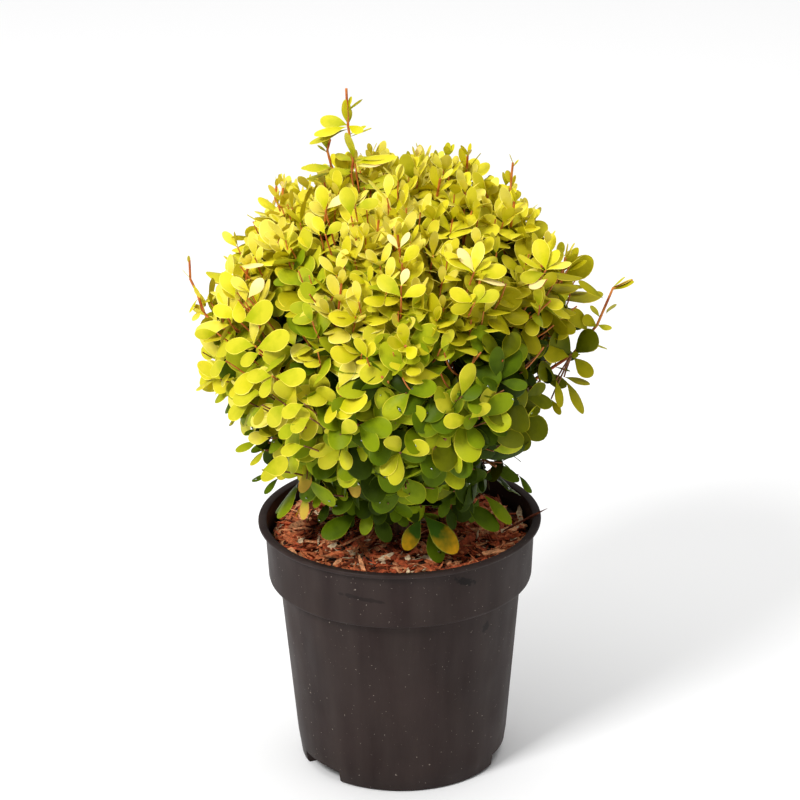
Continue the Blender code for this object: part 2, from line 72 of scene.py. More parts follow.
pot_low, pot_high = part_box("pot")
rim_middle = Vector((0, 0, pot_high.z))
pixels_per_radian = LENS / SENSOR * PICTURE_PIXELS
half_picture = PICTURE_PIXELS / 2
pitch = CAMERA_SLOPE - math.atan((RIM_PIXEL[1] - half_picture) / pixels_per_radian)
side_step = (half_picture - RIM_PIXEL[0]) + (RIM_PIXEL[1] - half_picture) * math.sin(ROLL)
yaw = math.atan(side_step / pixels_per_radian)
away = Vector((0, -math.cos(CAMERA_SLOPE), math.sin(CAMERA_SLOPE)))
looks = Vector((math.sin(yaw) * math.cos(pitch), math.cos(yaw) * math.cos(pitch), -math.sin(pitch)))
camera_data = bpy.data.cameras.new("camera")
camera_data.lens = LENS
camera_data.sensor_width = SENSOR
camera = bpy.data.objects.new("camera", camera_data)
camera.location = rim_middle + away * CAMERA_DISTANCE
camera.rotation_mode = "QUATERNION"
camera.rotation_quaternion = looks.to_track_quat("-Z", "Y") @ Quaternion((0, 0, 1), -ROLL)
bpy.context.scene.collection.objects.link(camera)
bpy.context.scene.camera = camera

# The floor and the light
# A plain white sweep under a soft even sky. A wide soft box hangs over the plant, the main light
# stands high up on the left in front, and a weak one fills in from the right.
bpy.context.scene.view_settings.view_transform = "Standard"


def principled(name, colour, roughness, gloss=0.5):
    """A node material: its Principled shader, its node tree and itself."""
    material = bpy.data.materials.new(name)
    material.use_nodes = True
    shader = material.node_tree.nodes["Principled BSDF"]
    shader.inputs["Base Color"].default_value = (*colour, 1)
    shader.inputs["Roughness"].default_value = roughness
    shader.inputs["Specular IOR Level"].default_value = gloss
    material.diffuse_color = (*colour, 1)
    return material, material.node_tree, shader


floor_shape = bmesh.new()
bmesh.ops.create_grid(floor_shape, x_segments=1, y_segments=1, size=6.0)
bmesh.ops.translate(floor_shape, verts=floor_shape.verts, vec=(0, 0, -0.0002))
floor_mesh = bpy.data.meshes.new("floor")
floor_shape.to_mesh(floor_mesh)
floor = bpy.data.objects.new("floor", floor_mesh)
floor_material, _, _ = principled("white_sweep", (0.95, 0.95, 0.95), 0.9, 0.1)
floor_mesh.materials.append(floor_material)
bpy.context.scene.collection.objects.link(floor)

sky = bpy.data.worlds.new("soft_sky")
sky.use_nodes = True
sky.node_tree.nodes["Background"].inputs["Color"].default_value = (1, 1, 1, 1)
sky.node_tree.nodes["Background"].inputs["Strength"].default_value = 0.24
bpy.context.scene.world = sky

for light_name, place, size, power in (
    ("soft_box", (0.0, 0.5, 3.4), 4.6, 124.0),
    ("main_light", (-1.2, -1.5, 2.0), 0.7, 52.0),
    ("fill_light", (1.8, -1.2, 0.9), 1.2, 3.0),
):
    light_data = bpy.data.lights.new(light_name, "AREA")
    light_data.size = size
    light_data.energy = power
    light = bpy.data.objects.new(light_name, light_data)
    light.location = place
    light.rotation_mode = "QUATERNION"
    light.rotation_quaternion = (Vector((0, 0, 0.28)) - Vector(place)).to_track_quat("-Z", "Y")
    bpy.context.scene.collection.objects.link(light)

# The nursery pot
# A thin shell of black plastic, moulded in one piece: a tapered body, a deep collar with a step under
# it, a rolled lip, and three drainage notches in the foot. Dust and dried splashes lie on it.
POT_HEIGHT = pot_high.z
RIM_RADIUS = pot_high.x
LIP_HEIGHT = 0.003
COLLAR_TOP_RADIUS = 0.0905
COLLAR_FOOT_RADIUS = 0.0886
COLLAR_HEIGHT = 0.042
COLLAR_STEP = 0.0015
BODY_TOP_RADIUS = 0.0815
KNEE_HEIGHT = 0.016
KNEE_RADIUS = 0.0709
BASE_RADIUS = 0.0686
WALL = 0.0015
POT_FLOOR = 0.002
POT_STEPS = 144
NOTCH_ANGLES = (-144.0, -13.0, 105.0)
NOTCH_HALF_ANGLE = 16.0
NOTCH_HEIGHT = 0.009
NOTCH_DEPTH = 0.024
PLASTIC_DARK = (0.0185, 0.0107, 0.0098)
PLASTIC_PALE = (0.0285, 0.0165, 0.0150)
DUST = (0.40, 0.33, 0.28)
SCUFF = (0.004, 0.003, 0.003)
# Scuffs: their middle, half sizes and turn in degrees, and how dark they are
SCUFFS = (
    ((0.042, -0.0790, 0.1615), (0.0085, 0.02, 0.0030), 28.0, 0.75),
    ((-0.026, -0.0850, 0.1525), (0.0190, 0.02, 0.0016), 7.0, 0.45),
    ((0.056, -0.0560, 0.1170), (0.0022, 0.02, 0.0042), 15.0, 0.65),
)


def add_object(name, shape, material, smooth_angle=None):
    """Puts a bmesh in the scene as an object with that material."""
    mesh = bpy.data.meshes.new(name)
    shape.to_mesh(mesh)
    shape.free()
    if smooth_angle is not None:
        mesh.shade_smooth()
        mesh.set_sharp_from_angle(angle=smooth_angle)
    if material:
        mesh.materials.append(material)
    obj = bpy.data.objects.new(name, mesh)
    bpy.context.scene.collection.objects.link(obj)
    return obj


def add_node(tree, kind, **settings):
    """A node of that kind, with its properties set by name, and its inputs by name after in_."""
    node = tree.nodes.new(kind)
    for key, value in settings.items():
        if key.startswith("in_"):
            node.inputs[key[3:].replace("_", " ")].default_value = value
        else:
            setattr(node, key, value)
    return node


def two_colours(tree, factor, first, second, low=0.35, high=0.65):
    """A colour ramp from one colour to another, where a factor runs from low to high."""
    ramp = add_node(tree, "ShaderNodeValToRGB")
    ramp.color_ramp.elements[0].position = low
    ramp.color_ramp.elements[0].color = (*first, 1)
    ramp.color_ramp.elements[1].position = high
    ramp.color_ramp.elements[1].color = (*second, 1)
    tree.links.new(factor, ramp.inputs["Fac"])
    return ramp.outputs["Color"]


def noise_at(tree, scale, detail=4.0, stretch=(1, 1, 1)):
    """Noise on Object coordinates, stretched along the axes."""
    place = add_node(tree, "ShaderNodeTexCoord")
    mapping = add_node(tree, "ShaderNodeMapping", in_Scale=stretch)
    texture = add_node(tree, "ShaderNodeTexNoise", in_Scale=scale, in_Detail=detail)
    tree.links.new(place.outputs["Object"], mapping.inputs["Vector"])
    tree.links.new(mapping.outputs["Vector"], texture.inputs["Vector"])
    return texture.outputs["Fac"]


def bumps(tree, shader, height, strength, distance):
    """Relief on a material from a height."""
    bump = add_node(tree, "ShaderNodeBump", in_Strength=strength, in_Distance=distance)
    tree.links.new(height, bump.inputs["Height"])
    tree.links.new(bump.outputs["Normal"], shader.inputs["Normal"])


def ranged(tree, value, low, high):
    """A value spread over a range."""
    spread = add_node(tree, "ShaderNodeMapRange")
    spread.inputs["From Min"].default_value = 0.3
    spread.inputs["From Max"].default_value = 0.7
    spread.inputs["To Min"].default_value = low
    spread.inputs["To Max"].default_value = high
    tree.links.new(value, spread.inputs["Value"])
    return spread.outputs["Result"]


def mixed(tree, factor, first, second):
    """One colour mixed into another by a factor."""
    mix = add_node(tree, "ShaderNodeMix", data_type="RGBA")
    tree.links.new(factor, mix.inputs[0])
    tree.links.new(first, mix.inputs[6])
    if isinstance(second, tuple):
        mix.inputs[7].default_value = (*second, 1)
    else:
        tree.links.new(second, mix.inputs[7])
    return mix.outputs[2]


def smear_at(tree, middle, half_sizes, turn, strength):
    """A ragged patch round a point of the object, as a share from nothing up to its strength."""
    place = add_node(tree, "ShaderNodeTexCoord")
    patch = add_node(tree, "ShaderNodeMapping", vector_type="TEXTURE", in_Location=middle, in_Scale=half_sizes)
    patch.inputs["Rotation"].default_value = (0, math.radians(turn), 0)
    size = add_node(tree, "ShaderNodeVectorMath", operation="LENGTH")
    ragged = add_node(tree, "ShaderNodeMath", operation="MULTIPLY_ADD")
    ragged.inputs[1].default_value = 0.9
    tree.links.new(place.outputs["Object"], patch.inputs["Vector"])
    tree.links.new(patch.outputs["Vector"], size.inputs[0])
    tree.links.new(noise_at(tree, 260.0, 4.0), ragged.inputs[0])
    half = add_node(tree, "ShaderNodeMath", operation="MULTIPLY")
    half.inputs[1].default_value = 0.5
    tree.links.new(size.outputs["Value"], half.inputs[0])
    tree.links.new(half.outputs["Value"], ragged.inputs[2])
    return two_colours(tree, ragged.outputs["Value"], (strength,) * 3, (0, 0, 0), 0.80, 0.95)


def spun(profile, steps):
    """A closed shell turned round Z from a profile of (radius, height) points."""
    shape = bmesh.new()
    points = [shape.verts.new((radius, 0, height)) for radius, height in profile]
    edges = [shape.edges.new(pair) for pair in zip(points, points[1:])]
    bmesh.ops.spin(
        shape,
        geom=points + edges,
        cent=(0, 0, 0),
        axis=(0, 0, 1),
        dvec=(0, 0, 0),
        angle=2 * math.pi,
        steps=steps,
        use_merge=True,
        use_duplicate=False,
    )
    bmesh.ops.remove_doubles(shape, verts=shape.verts, dist=1e-6)
    bmesh.ops.recalc_face_normals(shape, faces=shape.faces)
    return shape


def joined_or_cut(obj, others, operation):
    """Joins or cuts an object with others, which are then removed."""
    for other in others:
        change = obj.modifiers.new(operation.lower(), "BOOLEAN")
        change.operation = operation
        change.object = other
        change.solver = "EXACT"
    graph = bpy.context.evaluated_depsgraph_get()
    mesh = bpy.data.meshes.new_from_object(obj.evaluated_get(graph))
    obj.modifiers.clear()
    obj.data = mesh
    for other in others:
        bpy.data.objects.remove(other, do_unlink=True)


def notch_blocks(grow, low, high, outer):
    """A block over each drainage notch, larger all round by grow."""
    blocks = []
    inner = BASE_RADIUS - NOTCH_DEPTH - grow
    half = NOTCH_HALF_ANGLE + math.degrees(grow / (BASE_RADIUS - NOTCH_DEPTH))
    for angle in NOTCH_ANGLES:
        shape = bmesh.new()
        corners = [(inner, low), (outer, low), (outer, high), (inner, high)]
        face = shape.faces.new([shape.verts.new((radius, 0, height)) for radius, height in corners])
        bmesh.ops.spin(
            shape,
            geom=[face, *face.edges, *face.verts],
            cent=(0, 0, 0),
            axis=(0, 0, 1),
            dvec=(0, 0, 0),
            angle=math.radians(2 * half),
            steps=8,
            use_merge=False,
            use_duplicate=False,
        )
        turn = Matrix.Rotation(math.radians(angle - half), 3, "Z")
        bmesh.ops.rotate(shape, verts=shape.verts, cent=(0, 0, 0), matrix=turn)
        bmesh.ops.recalc_face_normals(shape, faces=shape.faces)
        blocks.append(add_object("notch_block", shape, None))
    return blocks


step = POT_HEIGHT - COLLAR_HEIGHT
lip = POT_HEIGHT - LIP_HEIGHT
collar_inside_foot = COLLAR_FOOT_RADIUS - WALL
collar_inside_top = COLLAR_TOP_RADIUS - WALL
profile = [
    (0, 0),
    (BASE_RADIUS - 0.0015, 0),
    (BASE_RADIUS, 0.0015),
    (KNEE_RADIUS - 0.0004, KNEE_HEIGHT - 0.002),
    (KNEE_RADIUS + 0.0002, KNEE_HEIGHT + 0.002),
    (BODY_TOP_RADIUS - 0.0004, step - 0.004),
    (BODY_TOP_RADIUS + 0.0004, step - 0.0008),
    (COLLAR_FOOT_RADIUS - 0.0014, step + COLLAR_STEP - 0.0012),
    (COLLAR_FOOT_RADIUS - 0.0004, step + COLLAR_STEP - 0.0004),
    (COLLAR_FOOT_RADIUS, step + COLLAR_STEP + 0.0012),
    (COLLAR_TOP_RADIUS, lip - 0.0012),
    (COLLAR_TOP_RADIUS + 0.0002, lip),
    (RIM_RADIUS - 0.0008, lip + 0.0002),
    (RIM_RADIUS - 0.0001, lip + 0.0009),
    (RIM_RADIUS, lip + 0.0017),
    (RIM_RADIUS - 0.0003, lip + 0.0025),
    (RIM_RADIUS - 0.0010, POT_HEIGHT),
    (collar_inside_top + 0.0016, POT_HEIGHT),
    (collar_inside_top + 0.0004, POT_HEIGHT - 0.0008),
    (collar_inside_top, lip - 0.001),
    (collar_inside_foot, step + COLLAR_STEP + WALL),
    (BODY_TOP_RADIUS - WALL, step),
    (KNEE_RADIUS - WALL, KNEE_HEIGHT),
    (BASE_RADIUS - WALL, POT_FLOOR),
    (0, POT_FLOOR),
]
plastic, plastic_tree, plastic_shader = principled("black_plastic", PLASTIC_DARK, 0.5, 0.13)
mottle = two_colours(plastic_tree, noise_at(plastic_tree, 22.0, 6.0), PLASTIC_DARK, PLASTIC_PALE, 0.3, 0.75)
streaks = noise_at(plastic_tree, 60.0, 5.0, (1, 1, 0.12))
streak_share = ranged(plastic_tree, streaks, 0.0, 0.04)
streaked = mixed(plastic_tree, streak_share, mottle, DUST)
scuffed = streaked
for middle, half_sizes, turn, darkness in SCUFFS:
    scuff_share = smear_at(plastic_tree, middle, half_sizes, turn, darkness)
    scuffed = mixed(plastic_tree, scuff_share, scuffed, SCUFF)
specks = noise_at(plastic_tree, 560.0, 2.0)
speck_share = two_colours(plastic_tree, specks, (0, 0, 0), (0.6, 0.6, 0.6), 0.715, 0.775)
specked = mixed(plastic_tree, speck_share, scuffed, DUST)
plastic_tree.links.new(specked, plastic_shader.inputs["Base Color"])
smears = noise_at(plastic_tree, 35.0, 3.0, (1, 1, 0.5))
plastic_tree.links.new(ranged(plastic_tree, smears, 0.66, 0.44), plastic_shader.inputs["Roughness"])
bumps(plastic_tree, plastic_shader, noise_at(plastic_tree, 900.0, 3.0), 0.12, 0.0004)

pot = add_object("nursery_pot", spun(profile, POT_STEPS), plastic)
joined_or_cut(pot, notch_blocks(WALL, POT_FLOOR / 2, NOTCH_HEIGHT + WALL, BASE_RADIUS - 0.0007), "UNION")
joined_or_cut(pot, notch_blocks(0, -0.003, NOTCH_HEIGHT, BASE_RADIUS + 0.006), "DIFFERENCE")
pot.data.shade_smooth()
pot.data.set_sharp_from_angle(angle=math.radians(40))
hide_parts("pot")
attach(pot, "root")

# The potting soil
# A block of dark damp compost that fills the pot below the mulch. Only its dark surface shows, through
# gaps in the mulch and in the notches of the foot.
soil, soil_tree, soil_shader = principled("damp_soil", (0.03, 0.018, 0.012), 0.95)
soil_grain = noise_at(soil_tree, 260.0, 6.0)
soil_colour = two_colours(soil_tree, soil_grain, (0.012, 0.008, 0.006), (0.06, 0.035, 0.02))
soil_tree.links.new(soil_colour, soil_shader.inputs["Base Color"])
bumps(soil_tree, soil_shader, soil_grain, 0.8, 0.002)
soil_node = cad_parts["potting_soil"]
soil_node.data.materials.clear()
soil_node.data.materials.append(soil)

# The bark mulch
# Shredded conifer bark, strewn loose over the soil: flat chips, splinters and fibres, most of them
# reddish brown, some freshly split and pale. They lie on a dark bed of finer crumbs.
MULCH_SEED = 21
GROUND = 0.160
MULCH_EDGE = 0.157
CHIP_COUNT = 1900
CHIP_KINDS = 8
SHAVING_KINDS = 4
LEANING_SPLINTER = (Vector((0.068, -0.004, 0.1615)), Vector((0.0968, -0.002, 0.1765)))
CHIP_TINTS = (
    ("bark_dark", (0.160, 0.036, 0.013), 16),
    ("bark_red", (0.44, 0.088, 0.031), 32),
    ("bark_brown", (0.58, 0.165, 0.060), 26),
    ("bark_tan", (0.76, 0.33, 0.150), 18),
    ("bark_pale", (0.93, 0.60, 0.37), 8),
)


def collar_inside(height):
    """Inside radius of the pot's collar at a height."""
    share = (height - step) / (lip - step)
    return COLLAR_FOOT_RADIUS + (COLLAR_TOP_RADIUS - COLLAR_FOOT_RADIUS) * share - WALL


def mulch_height(flat):
    """Height of the mulch's surface at a distance from the pot's axis."""
    return GROUND - (GROUND - MULCH_EDGE) * (flat / collar_inside(GROUND)) ** 2


def chip_template(rng, bend):
    """A splinter of bark, one metre long, torn thin at its ends, or a curved shaving where it bends."""
    shape = bmesh.new()
    bmesh.ops.create_cube(shape, size=1.0)
    long_edges = [e for e in shape.edges if abs(e.verts[0].co.x - e.verts[1].co.x) > 0.5]
    bmesh.ops.subdivide_edges(shape, edges=long_edges, cuts=3)
    for vertex in shape.verts:
        end = abs(vertex.co.x) * 2
        narrow = 1 - 0.55 * end**2
        vertex.co.y *= narrow * rng.uniform(0.6, 1.2)
        vertex.co.z *= narrow * rng.uniform(0.5, 1.3)
        vertex.co.x += rng.uniform(-0.09, 0.09)
        vertex.co.z += 0.25 * (vertex.co.x * rng.uniform(0.6, 1.4)) ** 2
        vertex.co.y += bend * vertex.co.x**2
    bmesh.ops.triangulate(shape, faces=shape.faces)
    return shape


def joined_copies(name, templates, places, materials, smooth_angle=None):
    """One object of many copies: each place is a matrix and the number of its template.

    The attribute own_place keeps each point's place in its template.
    """
    points, own_points, faces, slots, count = [], [], [], [], 0
    arrays = []
    for template in templates:
        outline = [[v.index for v in f.verts] for f in template.faces]
        finishes = [f.material_index for f in template.faces]
        arrays.append((np.array([v.co for v in template.verts]), outline, finishes))
    for matrix, kind in places:
        corners, outline, finishes = arrays[kind]
        slots += finishes
        turn = np.array(matrix.to_3x3())
        points.append(corners @ turn.T + np.array(matrix.translation))
        own_points.append(corners)
        faces += [[i + count for i in face] for face in outline]
        count += len(corners)
    mesh = bpy.data.meshes.new(name)
    mesh.from_pydata(np.concatenate(points).tolist(), [], faces)
    for material in materials:
        mesh.materials.append(material)
    mesh.polygons.foreach_set("material_index", slots)
    own_place = mesh.attributes.new("own_place", "FLOAT_VECTOR", "POINT")
    own_place.data.foreach_set("vector", np.concatenate(own_points).ravel())
    if smooth_angle is not None:
        mesh.shade_smooth()
        mesh.set_sharp_from_angle(angle=smooth_angle)
    obj = bpy.data.objects.new(name, mesh)
    bpy.context.scene.collection.objects.link(obj)
    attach(obj, "root")
    return obj


mulch_rng = random.Random(MULCH_SEED)
chip_kinds = [chip_template(mulch_rng, 0.0) for _ in range(CHIP_KINDS)]
chip_kinds += [chip_template(mulch_rng, mulch_rng.uniform(3, 8)) for _ in range(SHAVING_KINDS)]
chip_places = {tint: [] for tint, _, _ in CHIP_TINTS}
tint_names = [tint for tint, _, _ in CHIP_TINTS]
tint_weights = [weight for _, _, weight in CHIP_TINTS]
for number in range(CHIP_COUNT):
    flat = (collar_inside(GROUND) - 0.004) * math.sqrt(mulch_rng.random())
    turn = mulch_rng.uniform(0, 2 * math.pi)
    long = mulch_rng.choice((0.004, 0.006, 0.008, 0.011, 0.015, 0.022)) * mulch_rng.uniform(0.8, 1.2)
    shaving = long > 0.009 and mulch_rng.random() < 0.45
    wide = mulch_rng.uniform(0.0007, 0.0016) if shaving else min(long * 0.8, mulch_rng.uniform(0.0015, 0.0060))
    thick = mulch_rng.uniform(0.0006, 0.0018)
    tilt = mulch_rng.gauss(0, 0.22)
    heading = mulch_rng.uniform(0, 2 * math.pi)
    if flat > collar_inside(GROUND) - long / 2:
        heading = turn + math.pi / 2 + mulch_rng.uniform(-0.4, 0.4)
    lift = mulch_rng.uniform(0.0, 0.0045)
    place = Vector((flat * math.cos(turn), flat * math.sin(turn), mulch_height(flat) + lift))
    matrix = Matrix.Translation(place) @ Matrix.Rotation(heading, 4, "Z") @ Matrix.Rotation(tilt, 4, "Y")
    matrix = matrix @ Matrix.Rotation(mulch_rng.gauss(0, 0.5), 4, "X") @ Matrix.Diagonal((long, wide, thick, 1))
    tint = mulch_rng.choices(tint_names, tint_weights)[0]
    kind = CHIP_KINDS + mulch_rng.randrange(SHAVING_KINDS) if shaving else mulch_rng.randrange(CHIP_KINDS)
    chip_places[tint].append((matrix, kind))
leaning = LEANING_SPLINTER[1] - LEANING_SPLINTER[0]
matrix = Matrix.Translation((LEANING_SPLINTER[0] + LEANING_SPLINTER[1]) / 2)
matrix = matrix @ leaning.to_track_quat("X", "Z").to_matrix().to_4x4()
matrix = matrix @ Matrix.Diagonal((leaning.length, 0.0019, 0.0014, 1))
chip_places["bark_dark"].append((matrix, 0))
for tint, colour, _ in CHIP_TINTS:
    bark, bark_tree, bark_shader = principled(tint, colour, 0.8, 0.2)
    grain = noise_at(bark_tree, 420.0, 5.0)
    darker = tuple(c * 0.55 for c in colour)
    paler = tuple(min(1.0, c * 1.35) for c in colour)
    bark_tree.links.new(two_colours(bark_tree, grain, darker, paler), bark_shader.inputs["Base Color"])
    bumps(bark_tree, bark_shader, noise_at(bark_tree, 900.0, 4.0), 0.7, 0.0006)
    chips = joined_copies("mulch_" + tint, chip_kinds, chip_places[tint], [bark])
crumbs, crumb_tree, crumb_shader = principled("mulch_crumbs", (0.05, 0.022, 0.013), 0.95)
crumb_grain = noise_at(crumb_tree, 320.0, 6.0)
crumb_colour = two_colours(crumb_tree, crumb_grain, (0.02, 0.010, 0.007), (0.12, 0.05, 0.025))
crumb_tree.links.new(crumb_colour, crumb_shader.inputs["Base Color"])
bumps(crumb_tree, crumb_shader, crumb_grain, 1.0, 0.002)
mulch_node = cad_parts["bark_mulch"]
mulch_node.data.materials.clear()
mulch_node.data.materials.append(crumbs)

# The stem and the boughs
# A short woody stem that flares where it leaves the mulch, and the limbs that spread from it, one to
# each mass of foliage. Stem and boughs share one brown bark, ridged all over.
STEM_FOOT_RADIUS = 0.0085
STEM_RADIUS = 0.0062
STEM_TIP_RADIUS = 0.0050
STEM_TIP = Vector((-0.002, 0.001, 0.200))
CROWN_MIDDLE = Vector((0.0, 0.0, 0.297))
CROWN_RADIUS = 0.131
CROWN_RISE = 0.120
CROWN_DROP = 0.142
DROP_POWER = 1.7
RIGHT_HOLLOW = 0.36
HOLLOW_POWER = 10
FORK = Vector((0.0, 0.0, 0.193))
MASS_RINGS = (
    ("skirt", 16.0, 5, 36.0, 0.22),
    ("belt", 42.0, 6, 0.0, 0.42),
    ("shoulder", 64.0, 5, 54.0, 0.62),
    ("top", 90.0, 1, 0.0, 1.0),
)
BOUGH_BEND = 0.16
BOUGH_END = 0.34
BOUGH_RADIUS = 0.0021
BOUGH_TIP_RADIUS = 0.0017
BARK_RIDGE = 0.0005
UP = Vector((0, 0, 1))


def direction(azimuth, elevation):
    """Unit vector: azimuth in degrees from +X, elevation above the level."""
    turn, rise = math.radians(azimuth), math.radians(elevation)
    return Vector((math.cos(turn) * math.cos(rise), math.sin(turn) * math.cos(rise), math.sin(rise)))


def reach(way):
    """How far the crown's outline is from its middle, that way."""
    flat = math.hypot(way.x, way.y)
    power = 2.0 if way.z > 0 else DROP_POWER
    tall = CROWN_RISE if way.z > 0 else CROWN_DROP
    full = ((flat / CROWN_RADIUS) ** power + (abs(way.z) / tall) ** power) ** (-1 / power)
    hollow = (max(0.0, way.x) / flat) ** HOLLOW_POWER * max(0.0, -way.z) if flat > 0.01 else 0.0
    return full * (1 - RIGHT_HOLLOW * hollow)


def way_out(start, way):
    """How far a line from a point inside the crown runs, that way, before it leaves the outline."""
    near, far = 0.0, 3 * CROWN_RADIUS
    for _ in range(24):
        middle = (near + far) / 2
        offset = start + way * middle - CROWN_MIDDLE
        if offset.length < reach(offset.normalized()):
            near = middle
        else:
            far = middle
    return near


def curve_point(start, bend, end, share):
    """A point of the smooth curve from start to end that leans towards bend."""
    rest = 1 - share
    return start * rest * rest + bend * 2 * rest * share + end * share * share


def curve_line(start, bend, end, pieces):
    return [curve_point(start, bend, end, i / pieces) for i in range(pieces + 1)]


def tapered(count, first, last):
    return [first + (last - first) * i / (count - 1) for i in range(count)]


def limbs_mesh(name, lines, roundness, material):
    """One object of many round limbs. Each line is its points and the radius at each."""
    data = bpy.data.curves.new(name, "CURVE")
    data.dimensions = "3D"
    data.bevel_depth = 1.0
    data.bevel_resolution = roundness
    data.use_fill_caps = True
    for path, radii in lines:
        spline = data.splines.new("POLY")
        spline.points.add(len(path) - 1)
        for point, place, radius in zip(spline.points, path, radii):
            point.co = (*place, 1)
            point.radius = radius
    guide = bpy.data.objects.new(name + "_guide", data)
    bpy.context.scene.collection.objects.link(guide)
    graph = bpy.context.evaluated_depsgraph_get()
    mesh = bpy.data.meshes.new_from_object(guide.evaluated_get(graph))
    bpy.data.objects.remove(guide, do_unlink=True)
    mesh.materials.clear()
    mesh.materials.append(material)
    mesh.shade_smooth()
    obj = bpy.data.objects.new(name, mesh)
    bpy.context.scene.collection.objects.link(obj)
    return obj


masses = []
for ring, slope, count, first, height in MASS_RINGS:
    for i in range(count):
        way = direction(first + 360 * i / count, slope)
        mass_name = ring if count == 1 else f"{ring}_{i + 1}"
        masses.append({"name": mass_name, "ring": ring, "way": way, "depth": way_out(FORK, way), "leaves_at": height})


def along_mass(mass, share):
    """The point that share of the way from the fork to the crown's outline, through the mass's middle."""
    return FORK + mass["way"] * mass["depth"] * share


def bough_curve(mass):
    """Start, bend and tip of a bough."""
    tip = along_mass(mass, BOUGH_END)
    if mass["ring"] == "top":
        return STEM_TIP, STEM_TIP.lerp(tip, 0.5), tip
    return Vector((0, 0, GROUND)).lerp(STEM_TIP, mass["leaves_at"]), along_mass(mass, BOUGH_BEND), tip


stem_foot = Vector((0, 0, GROUND))
stem_path = [stem_foot.lerp(STEM_TIP, i / 16) for i in range(17)]
stem_radii = [
    STEM_RADIUS + (STEM_TIP_RADIUS - STEM_RADIUS) * i / 16
    + (STEM_FOOT_RADIUS - STEM_RADIUS) * math.exp(-i / 2.2) for i in range(17)
]
limb_lines = [(stem_path, stem_radii)]
for mass in masses:
    limb_lines.append((curve_line(*bough_curve(mass), 14), tapered(15, BOUGH_RADIUS, BOUGH_TIP_RADIUS)))
bark, bark_tree, bark_shader = principled("barberry_bark", (0.25, 0.11, 0.05), 0.8)
bark_ridges = noise_at(bark_tree, 320.0, 5.0, (1, 1, 0.2))
bark_colour = two_colours(bark_tree, bark_ridges, (0.10, 0.05, 0.028), (0.36, 0.17, 0.075))
bark_tree.links.new(bark_colour, bark_shader.inputs["Base Color"])
bumps(bark_tree, bark_shader, bark_ridges, 0.8, 0.0008)
limbs = limbs_mesh("stem_and_boughs", limb_lines, 4, bark)
for vertex in limbs.data.vertices:
    place = Vector((vertex.co.x * 900, vertex.co.y * 900, vertex.co.z * 140))
    vertex.co += vertex.normal * noise.noise(place) * BARK_RIDGE
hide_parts("stem", *("bough_" + mass["name"] for mass in masses))
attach(limbs, "root")

# The shoots
# Thin orange-red shoots of this year, which stand up and outwards from the boughs and fork into finer
# ones. They grow by the rule that laid out the masses: a stem to each mass, and shoots that leave it.
SHOOTS = 83
SHOOT_SEED = 37
LOWEST_SLOPE = math.radians(-56)
SHOOT_RADIUS = 0.0011
SHOOT_TIP_RADIUS = 0.00055
UPRIGHT_TIP_RADIUS = 0.00085
SHOOT_MARGIN = 0.004
GOLDEN_ANGLE = math.pi * (3 - math.sqrt(5))
# Shoots that stand out of the outline: how far down from the tip they bear placed leaves only, where
# they leave the crown, and the points beyond
LONG_SHOOTS = (
    (
        0.070, (-0.0295, 0.010, 0.4091), (-0.0274, 0.010, 0.4222), (-0.0303, 0.012, 0.4463), (-0.0307, 0.012, 0.4566),
        (-0.0311, 0.012, 0.4718),
    ),
    (0.024, (-0.0417, 0.010, 0.4196), (-0.0441, 0.010, 0.4300), (-0.0421, 0.009, 0.4379)),
    (0.040, (-0.1277, 0.002, 0.3210), (-0.1313, 0.003, 0.3341), (-0.1356, 0.004, 0.3436), (-0.1358, 0.004, 0.3570)),
    (
        0.070, (0.1151, -0.006, 0.2905), (0.1316, -0.004, 0.3108), (0.1380, -0.004, 0.3270), (0.1419, -0.004, 0.3368),
        (0.1549, -0.004, 0.3422),
    ),
    (0.030, (0.0758, 0.047, 0.3830), (0.0770, 0.045, 0.4003), (0.0777, 0.045, 0.4073)),
    (0.0, (-0.0795, 0.035, 0.3880), (-0.0785, 0.036, 0.3960)),
)
# Shoots that stand straight up out of the crown: their tips, and points further down them
UPRIGHT_SHOOTS = (
    ((0.013, 0.018, 0.421), (0.006, 0.026, 0.388)),
    ((-0.074, 0.030, 0.397), (-0.076, 0.038, 0.362)),
    ((-0.044, -0.026, 0.410), (-0.048, -0.014, 0.376)),
    ((-0.096, -0.036, 0.368), (-0.101, -0.024, 0.334)),
    ((-0.011, -0.058, 0.407), (-0.014, -0.046, 0.374)),
    ((0.001, -0.072, 0.402), (0.004, -0.060, 0.358)),
    ((-0.035, -0.094, 0.378), (-0.043, -0.080, 0.307)),
    ((0.034, 0.050, 0.410), (0.029, 0.058, 0.380)),
    ((0.048, 0.050, 0.411), (0.046, 0.058, 0.380)),
    ((0.029, -0.010, 0.417), (0.024, 0.002, 0.384)),
    ((0.077, -0.014, 0.402), (0.073, -0.002, 0.366)),
    ((0.052, -0.070, 0.393), (0.047, -0.056, 0.344)),
    ((0.097, -0.032, 0.380), (0.090, -0.020, 0.334)),
    ((0.005, -0.091, 0.387), (0.004, -0.076, 0.342)),
    ((0.053, -0.089, 0.377), (0.046, -0.074, 0.330)),
    ((0.111, 0.006, 0.355), (0.107, 0.014, 0.324)),
    ((-0.016, 0.052, 0.412), (-0.019, 0.060, 0.382)),
    ((-0.083, 0.030, 0.361), (-0.084, 0.036, 0.330)),
    ((0.107, 0.012, 0.352), (0.103, 0.012, 0.330)),
    ((0.087, 0.040, 0.367), (0.084, 0.046, 0.334)),
    ((-0.048, 0.095, 0.381), (-0.046, 0.084, 0.340)),
    ((0.022, 0.105, 0.378), (0.020, 0.092, 0.338)),
    ((0.074, 0.084, 0.377), (0.068, 0.076, 0.338)),
    ((-0.082, 0.072, 0.368), (-0.078, 0.066, 0.334)),
)
